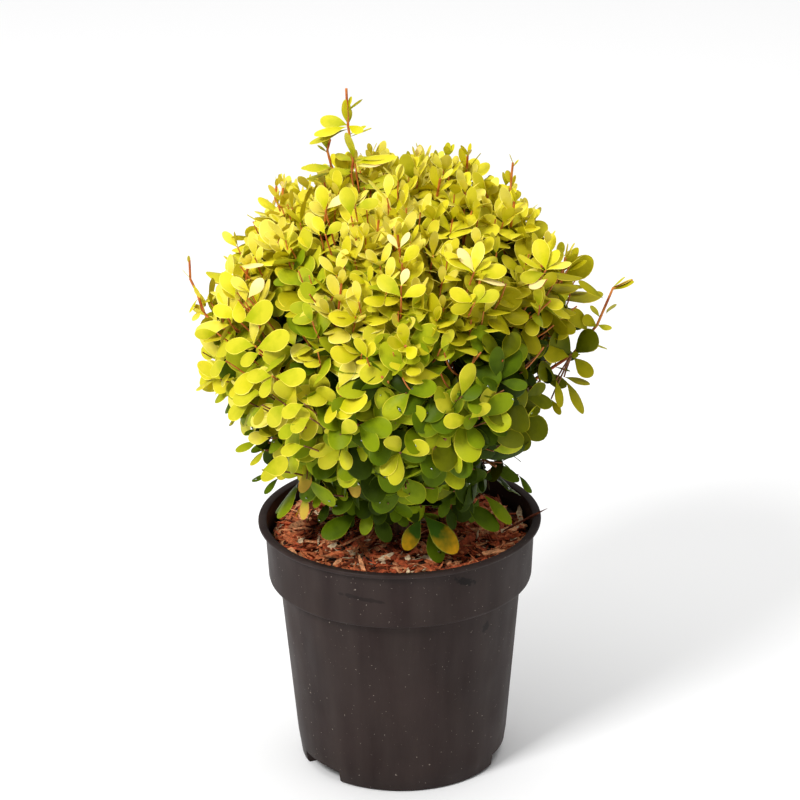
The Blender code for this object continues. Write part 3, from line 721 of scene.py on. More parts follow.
# Shoots that lean out of the front of the crown, under the upright ones
LEANING_SHOOTS = (
    ((0.005, -0.117, 0.344), (0.005, -0.085, 0.320)),
    ((0.021, -0.123, 0.312), (0.016, -0.088, 0.296)),
    ((-0.026, -0.117, 0.290), (-0.019, -0.084, 0.280)),
    ((0.001, -0.112, 0.268), (0.001, -0.080, 0.264)),
    ((0.030, -0.112, 0.277), (0.023, -0.080, 0.270)),
    ((-0.010, -0.122, 0.325), (-0.008, -0.090, 0.306)),
    ((0.047, -0.111, 0.311), (0.035, -0.080, 0.296)),
    ((-0.056, -0.106, 0.303), (-0.043, -0.078, 0.290)),
    ((0.063, -0.076, 0.242), (0.049, -0.060, 0.244)),
    ((-0.029, -0.092, 0.244), (-0.021, -0.070, 0.246)),
)
# Old leaves that hang low over the mulch, each on a thin shoot of its own: base, tip and tint; their
# deep greens are partly their own colour and partly painted shade under the crown
HANGING_LEAVES = (
    ((0.0155, -0.052, 0.1970), (0.0386, -0.062, 0.1745), "leaf_ageing"),
    ((0.0142, -0.050, 0.1946), (0.0037, -0.062, 0.1762), "leaf_ageing"),
    ((0.0196, -0.048, 0.1865), (0.0275, -0.060, 0.1665), "leaf_green"),
    ((-0.0167, -0.052, 0.1992), (-0.0075, -0.062, 0.1820), "leaf_deep_green"),
    ((-0.0279, -0.052, 0.1984), (-0.0508, -0.066, 0.1904), "leaf_green"),
    ((-0.0187, -0.050, 0.2019), (-0.0246, -0.060, 0.1869), "leaf_mid_green"),
    ((-0.0271, -0.060, 0.2186), (-0.0434, -0.072, 0.2090), "leaf_green"),
    ((0.0010, -0.060, 0.2150), (-0.0035, -0.070, 0.2002), "leaf_green"),
    ((0.0419, -0.048, 0.2046), (0.0662, -0.058, 0.1896), "leaf_green"),
    ((0.0558, -0.042, 0.2062), (0.0750, -0.050, 0.1903), "leaf_mid_green"),
    ((0.0583, -0.040, 0.2284), (0.0801, -0.044, 0.2187), "leaf_green"),
    ((0.0160, -0.076, 0.2372), (-0.0003, -0.090, 0.2293), "leaf_lime"),
    ((0.0179, -0.076, 0.2401), (0.0225, -0.088, 0.2220), "leaf_mid_green"),
    ((0.0269, -0.090, 0.2565), (0.0411, -0.102, 0.2392), "leaf_lime"),
    ((0.0120, -0.092, 0.2616), (-0.0112, -0.106, 0.2516), "leaf_lime"),
    ((-0.0602, -0.046, 0.2116), (-0.0655, -0.052, 0.1948), "leaf_orange"),
    ((-0.0558, -0.066, 0.2396), (-0.0655, -0.074, 0.2246), "leaf_orange"),
    ((-0.0308, -0.078, 0.2392), (-0.0282, -0.084, 0.2240), "leaf_orange"),
    ((-0.0366, -0.082, 0.2488), (-0.0197, -0.092, 0.2475), "leaf_orange"),
    ((-0.0708, -0.060, 0.2448), (-0.0911, -0.066, 0.2310), "leaf_yellow_lime"),
    ((-0.0790, -0.038, 0.2190), (-0.0900, -0.042, 0.2100), "leaf_green"),
    ((0.0313, -0.052, 0.2042), (0.0366, -0.058, 0.1889), "leaf_deep_green"),
    ((-0.0458, -0.046, 0.2051), (-0.0536, -0.056, 0.1952), "leaf_deep_green"),
    ((-0.0359, -0.046, 0.2030), (-0.0326, -0.054, 0.1892), "leaf_deep_green"),
    ((-0.0093, -0.054, 0.2096), (-0.0154, -0.064, 0.1962), "leaf_deep_green"),
    ((-0.0206, -0.050, 0.2065), (-0.0135, -0.060, 0.1958), "leaf_green"),
    ((0.0071, -0.056, 0.2110), (0.0108, -0.066, 0.1982), "leaf_deep_green"),
    ((-0.0356, -0.052, 0.2141), (-0.0311, -0.062, 0.2020), "leaf_green"),
    ((0.0334, -0.056, 0.2128), (0.0273, -0.066, 0.2016), "leaf_green"),
    ((0.0479, -0.052, 0.2158), (0.0411, -0.062, 0.2032), "leaf_deep_green"),
    ((0.0520, -0.046, 0.2059), (0.0484, -0.054, 0.1915), "leaf_green"),
    ((-0.0022, -0.050, 0.2033), (0.0043, -0.058, 0.1917), "leaf_green"),
    ((-0.0507, -0.048, 0.2154), (-0.0567, -0.056, 0.2053), "leaf_mid_green"),
    ((-0.0413, -0.058, 0.2240), (-0.0354, -0.068, 0.2155), "leaf_mid_green"),
    ((-0.0912, -0.052, 0.2514), (-0.1068, -0.058, 0.2485), "leaf_lime"),
    ((-0.0875, -0.050, 0.2440), (-0.0979, -0.058, 0.2384), "leaf_yellow_lime"),
    ((-0.0831, -0.040, 0.2460), (-0.0975, -0.044, 0.2415), "leaf_green"),
    ((-0.0864, -0.034, 0.2204), (-0.0976, -0.038, 0.2180), "leaf_green"),
)
HANGING_TURNS = (0, 128, 236)
# Leaves of the sprays that stand out of the crown's sides, each on a twig: base, tip, shape and tint
FLANK_LEAVES = (
    ((0.1360, -0.004, 0.3291), (0.1207, -0.006, 0.3442), 1, "leaf_olive_gold"),
    ((0.1374, -0.004, 0.3185), (0.1423, -0.010, 0.3293), 1, "leaf_olive_gold"),
    ((0.1412, -0.005, 0.3358), (0.1560, -0.008, 0.3418), 0, "leaf_olive_gold"),
    ((0.1412, -0.004, 0.3370), (0.1500, -0.007, 0.3450), 0, "leaf_yellow_lime"),
    ((0.1315, -0.005, 0.3098), (0.1240, -0.010, 0.3190), 5, "leaf_olive_gold"),
    ((0.1256, -0.006, 0.3074), (0.1160, -0.012, 0.3234), 3, "leaf_olive_gold"),
    ((0.1164, -0.006, 0.2912), (0.1291, -0.014, 0.3092), 6, "leaf_olive_green"),
    ((0.1158, -0.006, 0.2890), (0.1287, -0.014, 0.2800), 5, "leaf_olive_gold"),
    ((0.1098, -0.008, 0.2756), (0.1267, -0.014, 0.2744), 1, "leaf_olive_gold"),
    ((0.1105, -0.008, 0.2735), (0.1241, -0.018, 0.2546), 1, "leaf_olive_gold"),
    ((0.1143, -0.010, 0.2907), (0.1040, -0.020, 0.3113), 6, "leaf_olive_green"),
    ((0.1128, -0.014, 0.2924), (0.0959, -0.026, 0.3053), 6, "leaf_olive_gold"),
    ((0.1041, -0.020, 0.2786), (0.0939, -0.030, 0.2929), 6, "leaf_olive_green"),
    ((0.1021, -0.016, 0.3203), (0.1162, -0.024, 0.3148), 2, "leaf_olive_gold"),
    ((0.1042, -0.016, 0.2769), (0.1086, -0.024, 0.2609), 1, "leaf_olive_gold"),
    ((0.1010, -0.016, 0.2634), (0.1068, -0.020, 0.2535), 0, "leaf_olive_gold"),
    ((0.0979, -0.045, 0.3138), (0.0858, -0.055, 0.3132), 6, "leaf_olive_green"),
    ((0.0924, -0.050, 0.3473), (0.1064, -0.056, 0.3474), 3, "leaf_gold"),
    ((0.0960, -0.040, 0.3405), (0.1126, -0.046, 0.3343), 1, "leaf_gold"),
    ((-0.1165, -0.052, 0.3279), (-0.1310, -0.060, 0.3314), 2, "leaf_yellow_lime"),
    ((-0.1105, -0.070, 0.3157), (-0.1229, -0.058, 0.3018), 4, "leaf_yellow_lime"),
    ((-0.0949, -0.094, 0.2963), (-0.1117, -0.082, 0.2816), 4, "leaf_yellow_lime"),
    ((-0.0909, -0.088, 0.3333), (-0.1137, -0.076, 0.3314), 2, "leaf_yellow_lime"),
    ((-0.0903, -0.090, 0.3320), (-0.0699, -0.104, 0.3485), 2, "leaf_yellow_lime"),
    ((-0.1027, -0.068, 0.3439), (-0.1196, -0.056, 0.3511), 2, "leaf_gold"),
    ((-0.0994, -0.072, 0.3441), (-0.0775, -0.088, 0.3613), 4, "leaf_yellow_lime"),
    ((-0.0801, -0.104, 0.3191), (-0.0983, -0.092, 0.3150), 4, "leaf_yellow_lime"),
    ((-0.0801, -0.104, 0.3184), (-0.0887, -0.104, 0.3033), 4, "leaf_yellow_lime"),
    ((-0.0883, -0.094, 0.3309), (-0.1022, -0.086, 0.3201), 4, "leaf_yellow_lime"),
    ((-0.0781, -0.106, 0.3199), (-0.0568, -0.122, 0.3256), 4, "leaf_yellow_lime"),
    ((-0.0866, -0.098, 0.3173), (-0.1103, -0.086, 0.3036), 2, "leaf_gold"),
    ((-0.0868, -0.100, 0.3064), (-0.1104, -0.088, 0.2981), 2, "leaf_yellow_lime"),
    ((-0.1021, -0.058, 0.3531), (-0.1006, -0.074, 0.3443), 2, "leaf_gold"),
    ((-0.0954, -0.066, 0.3575), (-0.0860, -0.066, 0.3719), 2, "leaf_cream"),
    ((-0.1042, -0.054, 0.3529), (-0.1125, -0.042, 0.3690), 2, "leaf_gold"),
    ((-0.1010, -0.036, 0.3679), (-0.0862, -0.052, 0.3767), 1, "leaf_cream"),
    ((-0.0687, -0.114, 0.3038), (-0.0560, -0.126, 0.2977), 4, "leaf_yellow_lime"),
    ((-0.0871, -0.100, 0.2953), (-0.1019, -0.088, 0.2799), 2, "leaf_lime"),
    ((-0.0818, -0.106, 0.2964), (-0.0742, -0.114, 0.2851), 4, "leaf_lime"),
    ((-0.0627, -0.118, 0.2874), (-0.0727, -0.112, 0.2675), 4, "leaf_lime"),
    ((-0.0886, -0.086, 0.2457), (-0.0699, -0.102, 0.2582), 4, "leaf_yellow_lime"),
    ((0.0492, -0.090, 0.3829), (0.0405, -0.084, 0.3977), 1, "leaf_cream"),
    ((0.0492, -0.090, 0.3829), (0.0525, -0.084, 0.4016), 1, "leaf_bright_gold"),
    ((0.0485, -0.092, 0.3830), (0.0316, -0.086, 0.3965), 1, "leaf_gold"),
    ((0.0498, -0.090, 0.3822), (0.0595, -0.084, 0.3893), 1, "leaf_gold"),
    ((0.0498, -0.092, 0.3817), (0.0702, -0.086, 0.3852), 2, "leaf_gold"),
    ((0.0497, -0.094, 0.3797), (0.0695, -0.088, 0.3757), 1, "leaf_cream"),
    ((0.0488, -0.106, 0.3682), (0.0343, -0.106, 0.3779), 2, "leaf_gold"),
    ((0.0494, -0.106, 0.3682), (0.0647, -0.100, 0.3744), 2, "leaf_yellow_lime"),
    ((0.0488, -0.106, 0.3675), (0.0347, -0.114, 0.3675), 2, "leaf_olive_gold"),
    ((0.0500, -0.106, 0.3675), (0.0527, -0.100, 0.3793), 3, "leaf_yellow_lime"),
    ((0.0960, -0.056, 0.3704), (0.0917, -0.050, 0.3894), 3, "leaf_gold"),
    ((0.0954, -0.056, 0.3697), (0.0798, -0.062, 0.3846), 1, "leaf_gold"),
    ((0.0960, -0.056, 0.3704), (0.1123, -0.050, 0.3747), 1, "leaf_bright_gold"),
    ((0.0961, -0.054, 0.3703), (0.1040, -0.048, 0.3816), 1, "leaf_gold"),
    ((0.0953, -0.058, 0.3691), (0.0803, -0.068, 0.3705), 2, "leaf_yellow_lime"),
    ((0.0965, -0.060, 0.3657), (0.0853, -0.070, 0.3650), 1, "leaf_cream"),
    ((0.0024, -0.086, 0.3983), (0.0076, -0.080, 0.4074), 1, "leaf_cream"),
    ((0.0012, -0.086, 0.3976), (-0.0044, -0.080, 0.4062), 1, "leaf_cream"),
    ((0.0036, -0.094, 0.3912), (0.0139, -0.088, 0.4009), 2, "leaf_gold"),
    ((0.0028, -0.106, 0.3803), (0.0067, -0.100, 0.3901), 1, "leaf_cream"),
    ((0.0027, -0.112, 0.3752), (-0.0097, -0.106, 0.3893), 3, "leaf_yellow_lime"),
    ((0.0033, -0.112, 0.3746), (0.0179, -0.106, 0.3815), 2, "leaf_gold"),
    ((-0.0453, -0.044, 0.4088), (-0.0476, -0.038, 0.4243), 3, "leaf_gold"),
    ((-0.0447, -0.042, 0.4087), (-0.0317, -0.036, 0.4179), 1, "leaf_cream"),
    ((-0.0452, -0.066, 0.4007), (-0.0527, -0.060, 0.4121), 2, "leaf_gold"),
    ((-0.0446, -0.066, 0.4000), (-0.0343, -0.060, 0.4078), 2, "leaf_yellow_lime"),
    ((-0.0287, 0.004, 0.4161), (-0.0423, -0.002, 0.4206), 3, "leaf_yellow_lime"),
    ((-0.0410, 0.004, 0.4204), (-0.0603, -0.002, 0.4242), 1, "leaf_yellow_lime"),
    ((-0.0464, 0.004, 0.4101), (-0.0579, -0.002, 0.4166), 1, "leaf_yellow_lime"),
    ((-0.0204, 0.002, 0.4071), (0.0024, -0.004, 0.4159), 2, "leaf_yellow_lime"),
    ((-0.0261, 0.006, 0.4223), (0.0020, 0.000, 0.4316), 1, "leaf_gold"),
    ((-0.0254, 0.004, 0.4209), (-0.0059, -0.002, 0.4277), 1, "leaf_cream"),
    ((-0.0285, -0.058, 0.4097), (-0.0308, -0.052, 0.4292), 3, "leaf_yellow_lime"),
    ((-0.0260, -0.050, 0.4128), (-0.0099, -0.048, 0.4173), 2, "leaf_yellow_lime"),
    ((0.0115, 0.004, 0.4108), (0.0065, -0.002, 0.4296), 2, "leaf_yellow_lime"),
    ((0.0121, 0.004, 0.4094), (0.0187, -0.002, 0.4246), 1, "leaf_gold"),
    ((-0.0595, -0.128, 0.3096), (-0.0757, -0.122, 0.2990), 4, "leaf_yellow_lime"),
    ((-0.0724, -0.120, 0.3064), (-0.0863, -0.114, 0.2874), 2, "leaf_yellow_lime"),
    ((-0.0868, -0.108, 0.3008), (-0.0904, -0.106, 0.2833), 1, "leaf_gold"),
    ((-0.0636, -0.126, 0.2950), (-0.0780, -0.120, 0.2836), 4, "leaf_lime"),
    ((-0.0559, -0.130, 0.3008), (-0.0701, -0.124, 0.2894), 4, "leaf_yellow_lime"),
    ((-0.0601, -0.126, 0.2797), (-0.0769, -0.120, 0.2732), 4, "leaf_yellow_lime"),
    ((0.0805, -0.040, 0.2674), (0.0954, -0.046, 0.2470), 6, "leaf_olive_green"),
    ((0.0697, -0.050, 0.2598), (0.0859, -0.056, 0.2458), 6, "leaf_olive_green"),
    ((0.0743, -0.050, 0.2789), (0.0924, -0.056, 0.2727), 5, "leaf_olive_green"),
)
TWIG_SEED = 12
TWIGS = 4
LOW_TWIGS = 3
LONG_SHOOT_TWIGS = 2
TWIG_LENGTH = 0.036
FIRST_TWIG = 0.012
TWIG_STEP = 0.011
TWIG_RADIUS = 0.0007


def pulled_inside(point, mass, margin):
    """A point moved clear of the sides of a mass's space where it is nearer to them than a margin."""
    for other in masses:
        if other is not mass:
            off = (mass["way"] - other["way"]).normalized()
            point = point + off * max(0.0, margin - (point - FORK).dot(off))
    return point


def line_point(line, back):
    """The point that far back from the tip of a line, and the way the line grows there."""
    for after, before in zip(reversed(line), reversed(line[:-1])):
        run = (after - before).length
        if back <= run:
            return after.lerp(before, back / run), (after - before).normalized()
        back -= run
    return line[0], (line[1] - line[0]).normalized()


def line_length(line):
    return sum((after - before).length for before, after in zip(line, line[1:]))


def sides_of(grows):
    """Two directions square to the way a shoot grows."""
    side = grows.cross(UP if abs(grows.z) < 0.9 else Vector((1, 0, 0))).normalized()
    return side, grows.cross(side)


def thinned(point):
    """How much the crown is thinned at a point: wholly on the right, where only sprays stand out."""
    way = (point - CROWN_MIDDLE).normalized()
    return share_of(way.x, 0.62, 0.85) * share_of(point.z, 0.215, 0.235) * (1 - share_of(point.z, 0.310, 0.330))


def share_of(value, low, high):
    """How far a value is from low to high, from 0 to 1."""
    return max(0.0, min(1.0, (value - low) / (high - low)))


shoot_rng = random.Random(SHOOT_SEED)
shoots = []
lowest = math.sin(LOWEST_SLOPE)
for i in range(SHOOTS):
    rise = math.degrees(math.asin(1 - (1 - lowest) * (i + 0.5) / SHOOTS))
    azimuth = math.degrees(i * GOLDEN_ANGLE) + shoot_rng.uniform(-8, 8)
    way = direction(azimuth, rise)
    tip = CROWN_MIDDLE + way * reach(way) * shoot_rng.uniform(0.92, 1.0) * (1 - 0.09 * share_of(-way.z, 0.0, 0.4))
    tip = CROWN_MIDDLE.lerp(tip, 1 - 0.15 * thinned(tip))
    shoots.append({"tip": tip, "kind": "shoot", "beyond": [], "bare": 0.0})
for bare, tip, *beyond in LONG_SHOOTS:
    points = [Vector(point) for point in beyond]
    shoots.append({"tip": Vector(tip), "kind": "long", "beyond": points, "bare": bare})
for shoot in shoots:
    way = (shoot["tip"] - CROWN_MIDDLE).normalized()
    shoot["grows"] = (way + UP * (0.55 if way.z > -0.2 else 0.25)).normalized()
    aim = (shoot["tip"] - FORK).normalized()
    shoot["mass"] = max(masses, key=lambda mass: mass["way"].dot(aim))
    shoot["tip"] = pulled_inside(shoot["tip"], shoot["mass"], SHOOT_MARGIN)

shoot_lines = []
leafy = []
for mass in masses:
    mine = [shoot for shoot in shoots if shoot["mass"] is mass]
    mine.sort(key=lambda shoot: -(shoot["tip"] - FORK).normalized().dot(mass["way"]))
    start = along_mass(mass, BOUGH_END)
    main = mine[0]
    bend = start + mass["way"] * (main["tip"] - start).length * 0.5
    stem_line = curve_line(start, bend, main["tip"], 16) + main["beyond"]
    radii = tapered(len(stem_line), BOUGH_TIP_RADIUS * 0.95, UPRIGHT_TIP_RADIUS if main["beyond"] else SHOOT_TIP_RADIUS)
    shoot_lines.append((stem_line, radii))
    leafy.append({"line": stem_line, "kind": main["kind"], "trimmed": main["kind"] == "shoot", "bare": main["bare"]})
    for i, shoot in enumerate(mine[1:]):
        root = curve_point(start, bend, main["tip"], 0.24 + 0.34 * (i + 0.5) / max(1, len(mine) - 1))
        turn = shoot["tip"] - shoot["grows"] * (shoot["tip"] - root).length * 0.45
        line = curve_line(root, turn, shoot["tip"], 12) + shoot["beyond"]
        radii = tapered(len(line), SHOOT_RADIUS, UPRIGHT_TIP_RADIUS if shoot["beyond"] else SHOOT_TIP_RADIUS)
        shoot_lines.append((line, radii))
        leafy.append({"line": line, "kind": shoot["kind"], "trimmed": shoot["kind"] == "shoot", "bare": shoot["bare"]})
added = [(*points, "upright") for points in UPRIGHT_SHOOTS]
added += [(*points, "leaning") for points in LEANING_SHOOTS]
for tip, lower, kind in added:
    tip, lower = Vector(tip), Vector(lower)
    root = FORK.lerp(lower, 0.62)
    line = curve_line(root, lower - (tip - lower) * 0.5, lower, 6) + [lower.lerp(tip, i / 4) for i in range(1, 5)]
    shoot_lines.append((line, tapered(len(line), SHOOT_RADIUS, UPRIGHT_TIP_RADIUS)))
    leafy.append({"line": line, "kind": kind, "trimmed": kind == "leaning", "bare": 0.0})
twig_rng = random.Random(TWIG_SEED)
for parent in list(leafy):
    line, kind = parent["line"], parent["kind"]
    turn = twig_rng.uniform(0, 2 * math.pi)
    fork_count = LONG_SHOOT_TWIGS if kind in ("long", "upright") else TWIGS if line[-1].z > 0.33 else LOW_TWIGS
    for k in range(fork_count):
        turn += GOLDEN_ANGLE
        back = FIRST_TWIG + TWIG_STEP * k + twig_rng.uniform(0, TWIG_STEP)
        back += 0.03 if kind in ("long", "upright") else 0.0
        back += parent["bare"]
        root, grows = line_point(line, min(back, line_length(line) * 0.8))
        side, other = sides_of(grows)
        out = side * math.cos(turn) + other * math.sin(turn)
        long = (TWIG_LENGTH + 0.35 * (back - FIRST_TWIG)) * twig_rng.uniform(0.75, 1.15)
        outward = (root - CROWN_MIDDLE).normalized()
        lift = 0.15 + 0.75 * share_of(root.z, 0.24, 0.37)
        end = root + (out * 0.65 + grows * 0.3 + UP * lift + outward * 0.4).normalized() * long
        offset = end - CROWN_MIDDLE
        limit = reach(offset.normalized()) * twig_rng.uniform(0.92, 1.0) * (1 - 0.09 * share_of(-end.z, -0.30, -0.25))
        limit *= 1 - 0.15 * thinned(end)
        if offset.length > limit:
            end = CROWN_MIDDLE + offset.normalized() * limit
        twig = curve_line(root, root + (out * 0.8 + grows * 0.3) * (end - root).length * 0.55, end, 7)
        shoot_lines.append((twig, tapered(8, TWIG_RADIUS, SHOOT_TIP_RADIUS * 0.8)))
        leafy.append({"line": twig, "kind": "twig", "trimmed": True, "bare": 0.0})
hanging = []
for angle in HANGING_TURNS:
    turned = Matrix.Rotation(math.radians(angle), 3, "Z")
    for base, tip, tint in HANGING_LEAVES:
        if angle and (tint == "leaf_orange" or base[2] > 0.22):
            continue
        base, tip = turned @ Vector(base), turned @ Vector(tip)
        line = curve_line(FORK, FORK.lerp(base, 0.5) + UP * 0.010, base, 8)
        shoot_lines.append((line, tapered(9, SHOOT_RADIUS, SHOOT_TIP_RADIUS)))
        hanging.append((base, tip, tint))
borne = []
for base, *_ in FLANK_LEAVES:
    base = Vector(base)
    root = Vector(LONG_SHOOTS[3][1]) if base.x > 0.1 else FORK.lerp(base, 0.70)
    if base.x > 0.1 and base.z > 0.3 or any((base - other).length < 0.006 for other in borne):
        continue
    borne.append(base)
    line = curve_line(root, root.lerp(base, 0.5) + UP * 0.002, base, 5)
    shoot_lines.append((line, tapered(6, TWIG_RADIUS, SHOOT_TIP_RADIUS)))
high_lines = [(path, radii) for path, radii in shoot_lines if path[-1].z > 0.315]
low_lines = [(path, radii) for path, radii in shoot_lines if path[-1].z <= 0.315]
for name, lines, dull, bright in (
    ("young_shoots", high_lines, (0.44, 0.085, 0.018), (0.74, 0.26, 0.05)),
    ("older_shoots", low_lines, (0.13, 0.045, 0.018), (0.30, 0.11, 0.035)),
):
    twig_bark, twig_tree, twig_shader = principled(name + "_bark", bright, 0.5, 0.3)
    twig_colour = two_colours(twig_tree, noise_at(twig_tree, 150.0, 4.0), dull, bright)
    twig_tree.links.new(twig_colour, twig_shader.inputs["Base Color"])
    shoot_piece = limbs_mesh(name, lines, 1, twig_bark)
    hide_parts(*("leaves_" + mass["name"] for mass in masses))
    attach(shoot_piece, "root")

# The leaves
# Small spoon-shaped leaves with smooth pale edges, in tufts at the joints of the shoots, folded a little
# along the midrib. Those in the sun are bright yellow, those low down or inside are green and larger.
# Their tints follow a painted light: lighter high up, outside and on the left, darker green inside and in
# the hollows, where it is painted shade; the yellow of sunlit leaves is partly their own colour.
LEAF_SEED = 5
LEAF_WIDEST = 0.60
LEAF_ROWS = (0.0, 0.11, 0.24, 0.38, 0.52, 0.65, 0.76, 0.855, 0.925, 0.972, 1.0)
UPPER_COLUMNS = (-1.0, -0.93, 0.0, 0.93, 1.0)
UNDER_COLUMNS = (-1.0, 0.0, 1.0)
LEAF_THICKNESS = 0.014
FIRST_TUFT = 0.0015
TUFT_SPACING = 0.0115
BOX_MARGIN = 0.0008
OUTER_SHARE = 1.03
RAGGED = 0.045
CREAM_SHARE = 0.22
CREAM_SIZE = 0.8
HANGING_SHAPES = (1, 1, 2)
# Leaf shapes: width for a length of one, then how far they curl down, fold up, arch across and twist
NARROW, MIDDLE, BROAD = (0, 1), (2, 3, 4), (5, 6, 7)
LEAF_SHAPES = (
    (0.43, -0.05, 0.20, -0.2, 0.00),
    (0.48, 0.12, 0.12, -0.4, 0.10),
    (0.53, 0.16, 0.08, -0.6, 0.00),
    (0.57, 0.28, 0.04, -0.8, 0.12),
    (0.54, 0.02, 0.14, -0.5, -0.12),
    (0.63, 0.20, 0.00, -0.8, 0.00),
    (0.67, 0.10, 0.06, -0.7, -0.10),
    (0.61, 0.32, 0.02, -0.8, 0.12),
)
# Tufts down a shoot from its tip: how many leaves, their lean from the shoot in degrees, their length
# and their shape
TUFTS = {
    "long": (
        (3, 16, 0.010, NARROW), (2, 45, 0.013, NARROW), (3, 60, 0.0165, NARROW), (3, 68, 0.0195, MIDDLE),
        (4, 74, 0.0210, MIDDLE), (4, 78, 0.0215, BROAD),
    ),
    "upright": (
        (3, 20, 0.0120, NARROW), (3, 42, 0.0180, NARROW), (5, 58, 0.0225, MIDDLE), (4, 70, 0.0240, MIDDLE),
        (3, 78, 0.0245, BROAD),
    ),
    "shoot": (
        (3, 32, 0.0165, NARROW), (4, 54, 0.0220, MIDDLE), (3, 70, 0.0250, BROAD), (3, 78, 0.0250, BROAD),
        (2, 84, 0.0250, BROAD),
    ),
    "leaning": ((3, 32, 0.0165, NARROW), (4, 54, 0.0220, MIDDLE), (3, 70, 0.0250, BROAD), (3, 78, 0.0250, BROAD)),
    "twig": ((3, 34, 0.0165, NARROW), (4, 56, 0.0215, MIDDLE), (3, 72, 0.0235, BROAD), (2, 80, 0.0235, BROAD)),
}
TUFT_COUNT = {"long": 10, "upright": 7, "shoot": 6, "leaning": 6, "twig": 4}
# Leaves that stand out by themselves, on the long shoots: base, tip, shape and tint
PLACED_LEAVES = (
    ((-0.0303, 0.012, 0.4463), (-0.0312, 0.010, 0.4648), 0, "leaf_gold"),
    ((-0.0303, 0.012, 0.4466), (-0.0291, 0.016, 0.4565), 0, "leaf_yellow_lime"),
    ((-0.0305, 0.012, 0.4560), (-0.0205, 0.006, 0.4657), 0, "leaf_yellow_lime"),
    ((-0.0307, 0.012, 0.4575), (-0.0274, 0.014, 0.4655), 0, "leaf_yellow_lime"),
    ((-0.0303, 0.012, 0.4463), (-0.0477, 0.016, 0.4526), 3, "leaf_yellow_lime"),
    ((-0.0303, 0.012, 0.4456), (-0.0522, 0.002, 0.4460), 1, "leaf_gold"),
    ((-0.0301, 0.012, 0.4440), (-0.0563, 0.006, 0.4392), 1, "leaf_yellow_lime"),
    ((-0.0302, 0.012, 0.4463), (-0.0218, 0.001, 0.4473), 2, "leaf_gold"),
    ((-0.0296, 0.012, 0.4401), (-0.0186, 0.020, 0.4426), 0, "leaf_yellow_lime"),
    ((-0.0294, 0.012, 0.4387), (-0.0147, 0.006, 0.4455), 0, "leaf_yellow_lime"),
    ((-0.0276, 0.010, 0.4236), (-0.0289, 0.005, 0.4450), 1, "leaf_yellow_lime"),
    ((-0.0443, 0.010, 0.4307), (-0.0462, 0.008, 0.4438), 3, "leaf_yellow_lime"),
    ((-0.0440, 0.010, 0.4285), (-0.0507, 0.014, 0.4320), 0, "leaf_yellow_lime"),
    ((-0.0417, 0.010, 0.4196), (-0.0611, 0.004, 0.4221), 1, "leaf_yellow_lime"),
    ((-0.0276, 0.010, 0.4222), (-0.0384, 0.016, 0.4271), 2, "leaf_yellow_lime"),
    ((-0.0284, 0.010, 0.4170), (-0.0436, -0.002, 0.4192), 3, "leaf_yellow_lime"),
    ((-0.0274, 0.010, 0.4240), (-0.0026, 0.004, 0.4254), 0, "leaf_gold"),
    ((-0.0273, 0.010, 0.4225), (-0.0032, 0.022, 0.4252), 1, "leaf_yellow_lime"),
    ((-0.0290, 0.009, 0.4040), (0.0010, 0.001, 0.4125), 1, "leaf_yellow_lime"),
    ((-0.0295, 0.010, 0.4098), (-0.0418, 0.000, 0.4123), 1, "leaf_yellow_lime"),
    ((-0.0293, 0.009, 0.4113), (-0.0283, -0.008, 0.3998), 2, "leaf_gold"),
    ((-0.0405, 0.010, 0.4150), (-0.0581, 0.008, 0.4130), 1, "leaf_yellow_lime"),
    ((-0.0284, 0.010, 0.4160), (-0.0152, 0.020, 0.4080), 1, "leaf_yellow_lime"),
    ((-0.1357, 0.004, 0.3540), (-0.1362, 0.003, 0.3605), 0, "leaf_bright_gold"),
    ((-0.1356, 0.004, 0.3436), (-0.1399, 0.002, 0.3522), 1, "leaf_gold"),
    ((-0.1343, 0.003, 0.3405), (-0.1287, -0.002, 0.3336), 1, "leaf_bright_gold"),
    ((-0.1319, 0.003, 0.3348), (-0.1241, 0.008, 0.3242), 2, "leaf_bright_gold"),
    ((-0.1307, 0.003, 0.3305), (-0.1377, 0.000, 0.3223), 1, "leaf_gold"),
    ((-0.1283, 0.003, 0.3220), (-0.1351, -0.003, 0.3178), 1, "leaf_bright_gold"),
    ((-0.1289, 0.003, 0.3255), (-0.1208, 0.010, 0.3293), 1, "leaf_gold"),
    ((0.1412, -0.004, 0.3365), (0.1549, -0.004, 0.3422), 0, "leaf_bright_gold"),
    ((0.1335, -0.004, 0.3160), (0.1275, 0.004, 0.3211), 0, "leaf_yellow_lime"),
    ((0.1316, -0.004, 0.3108), (0.1405, -0.010, 0.3118), 2, "leaf_yellow_lime"),
    ((0.1228, -0.005, 0.3000), (0.1383, -0.004, 0.2925), 0, "leaf_yellow_lime"),
    ((0.0777, 0.045, 0.4060), (0.0764, 0.044, 0.4141), 1, "leaf_gold"),
    ((0.0776, 0.045, 0.4040), (0.0818, 0.049, 0.4077), 0, "leaf_gold"),
    ((0.0766, 0.046, 0.3915), (0.0737, 0.044, 0.4021), 0, "leaf_gold"),
    ((0.0765, 0.046, 0.3887), (0.0798, 0.050, 0.3966), 0, "leaf_gold"),
    ((0.0758, 0.047, 0.3827), (0.0802, 0.040, 0.3789), 0, "leaf_yellow_lime"),
)
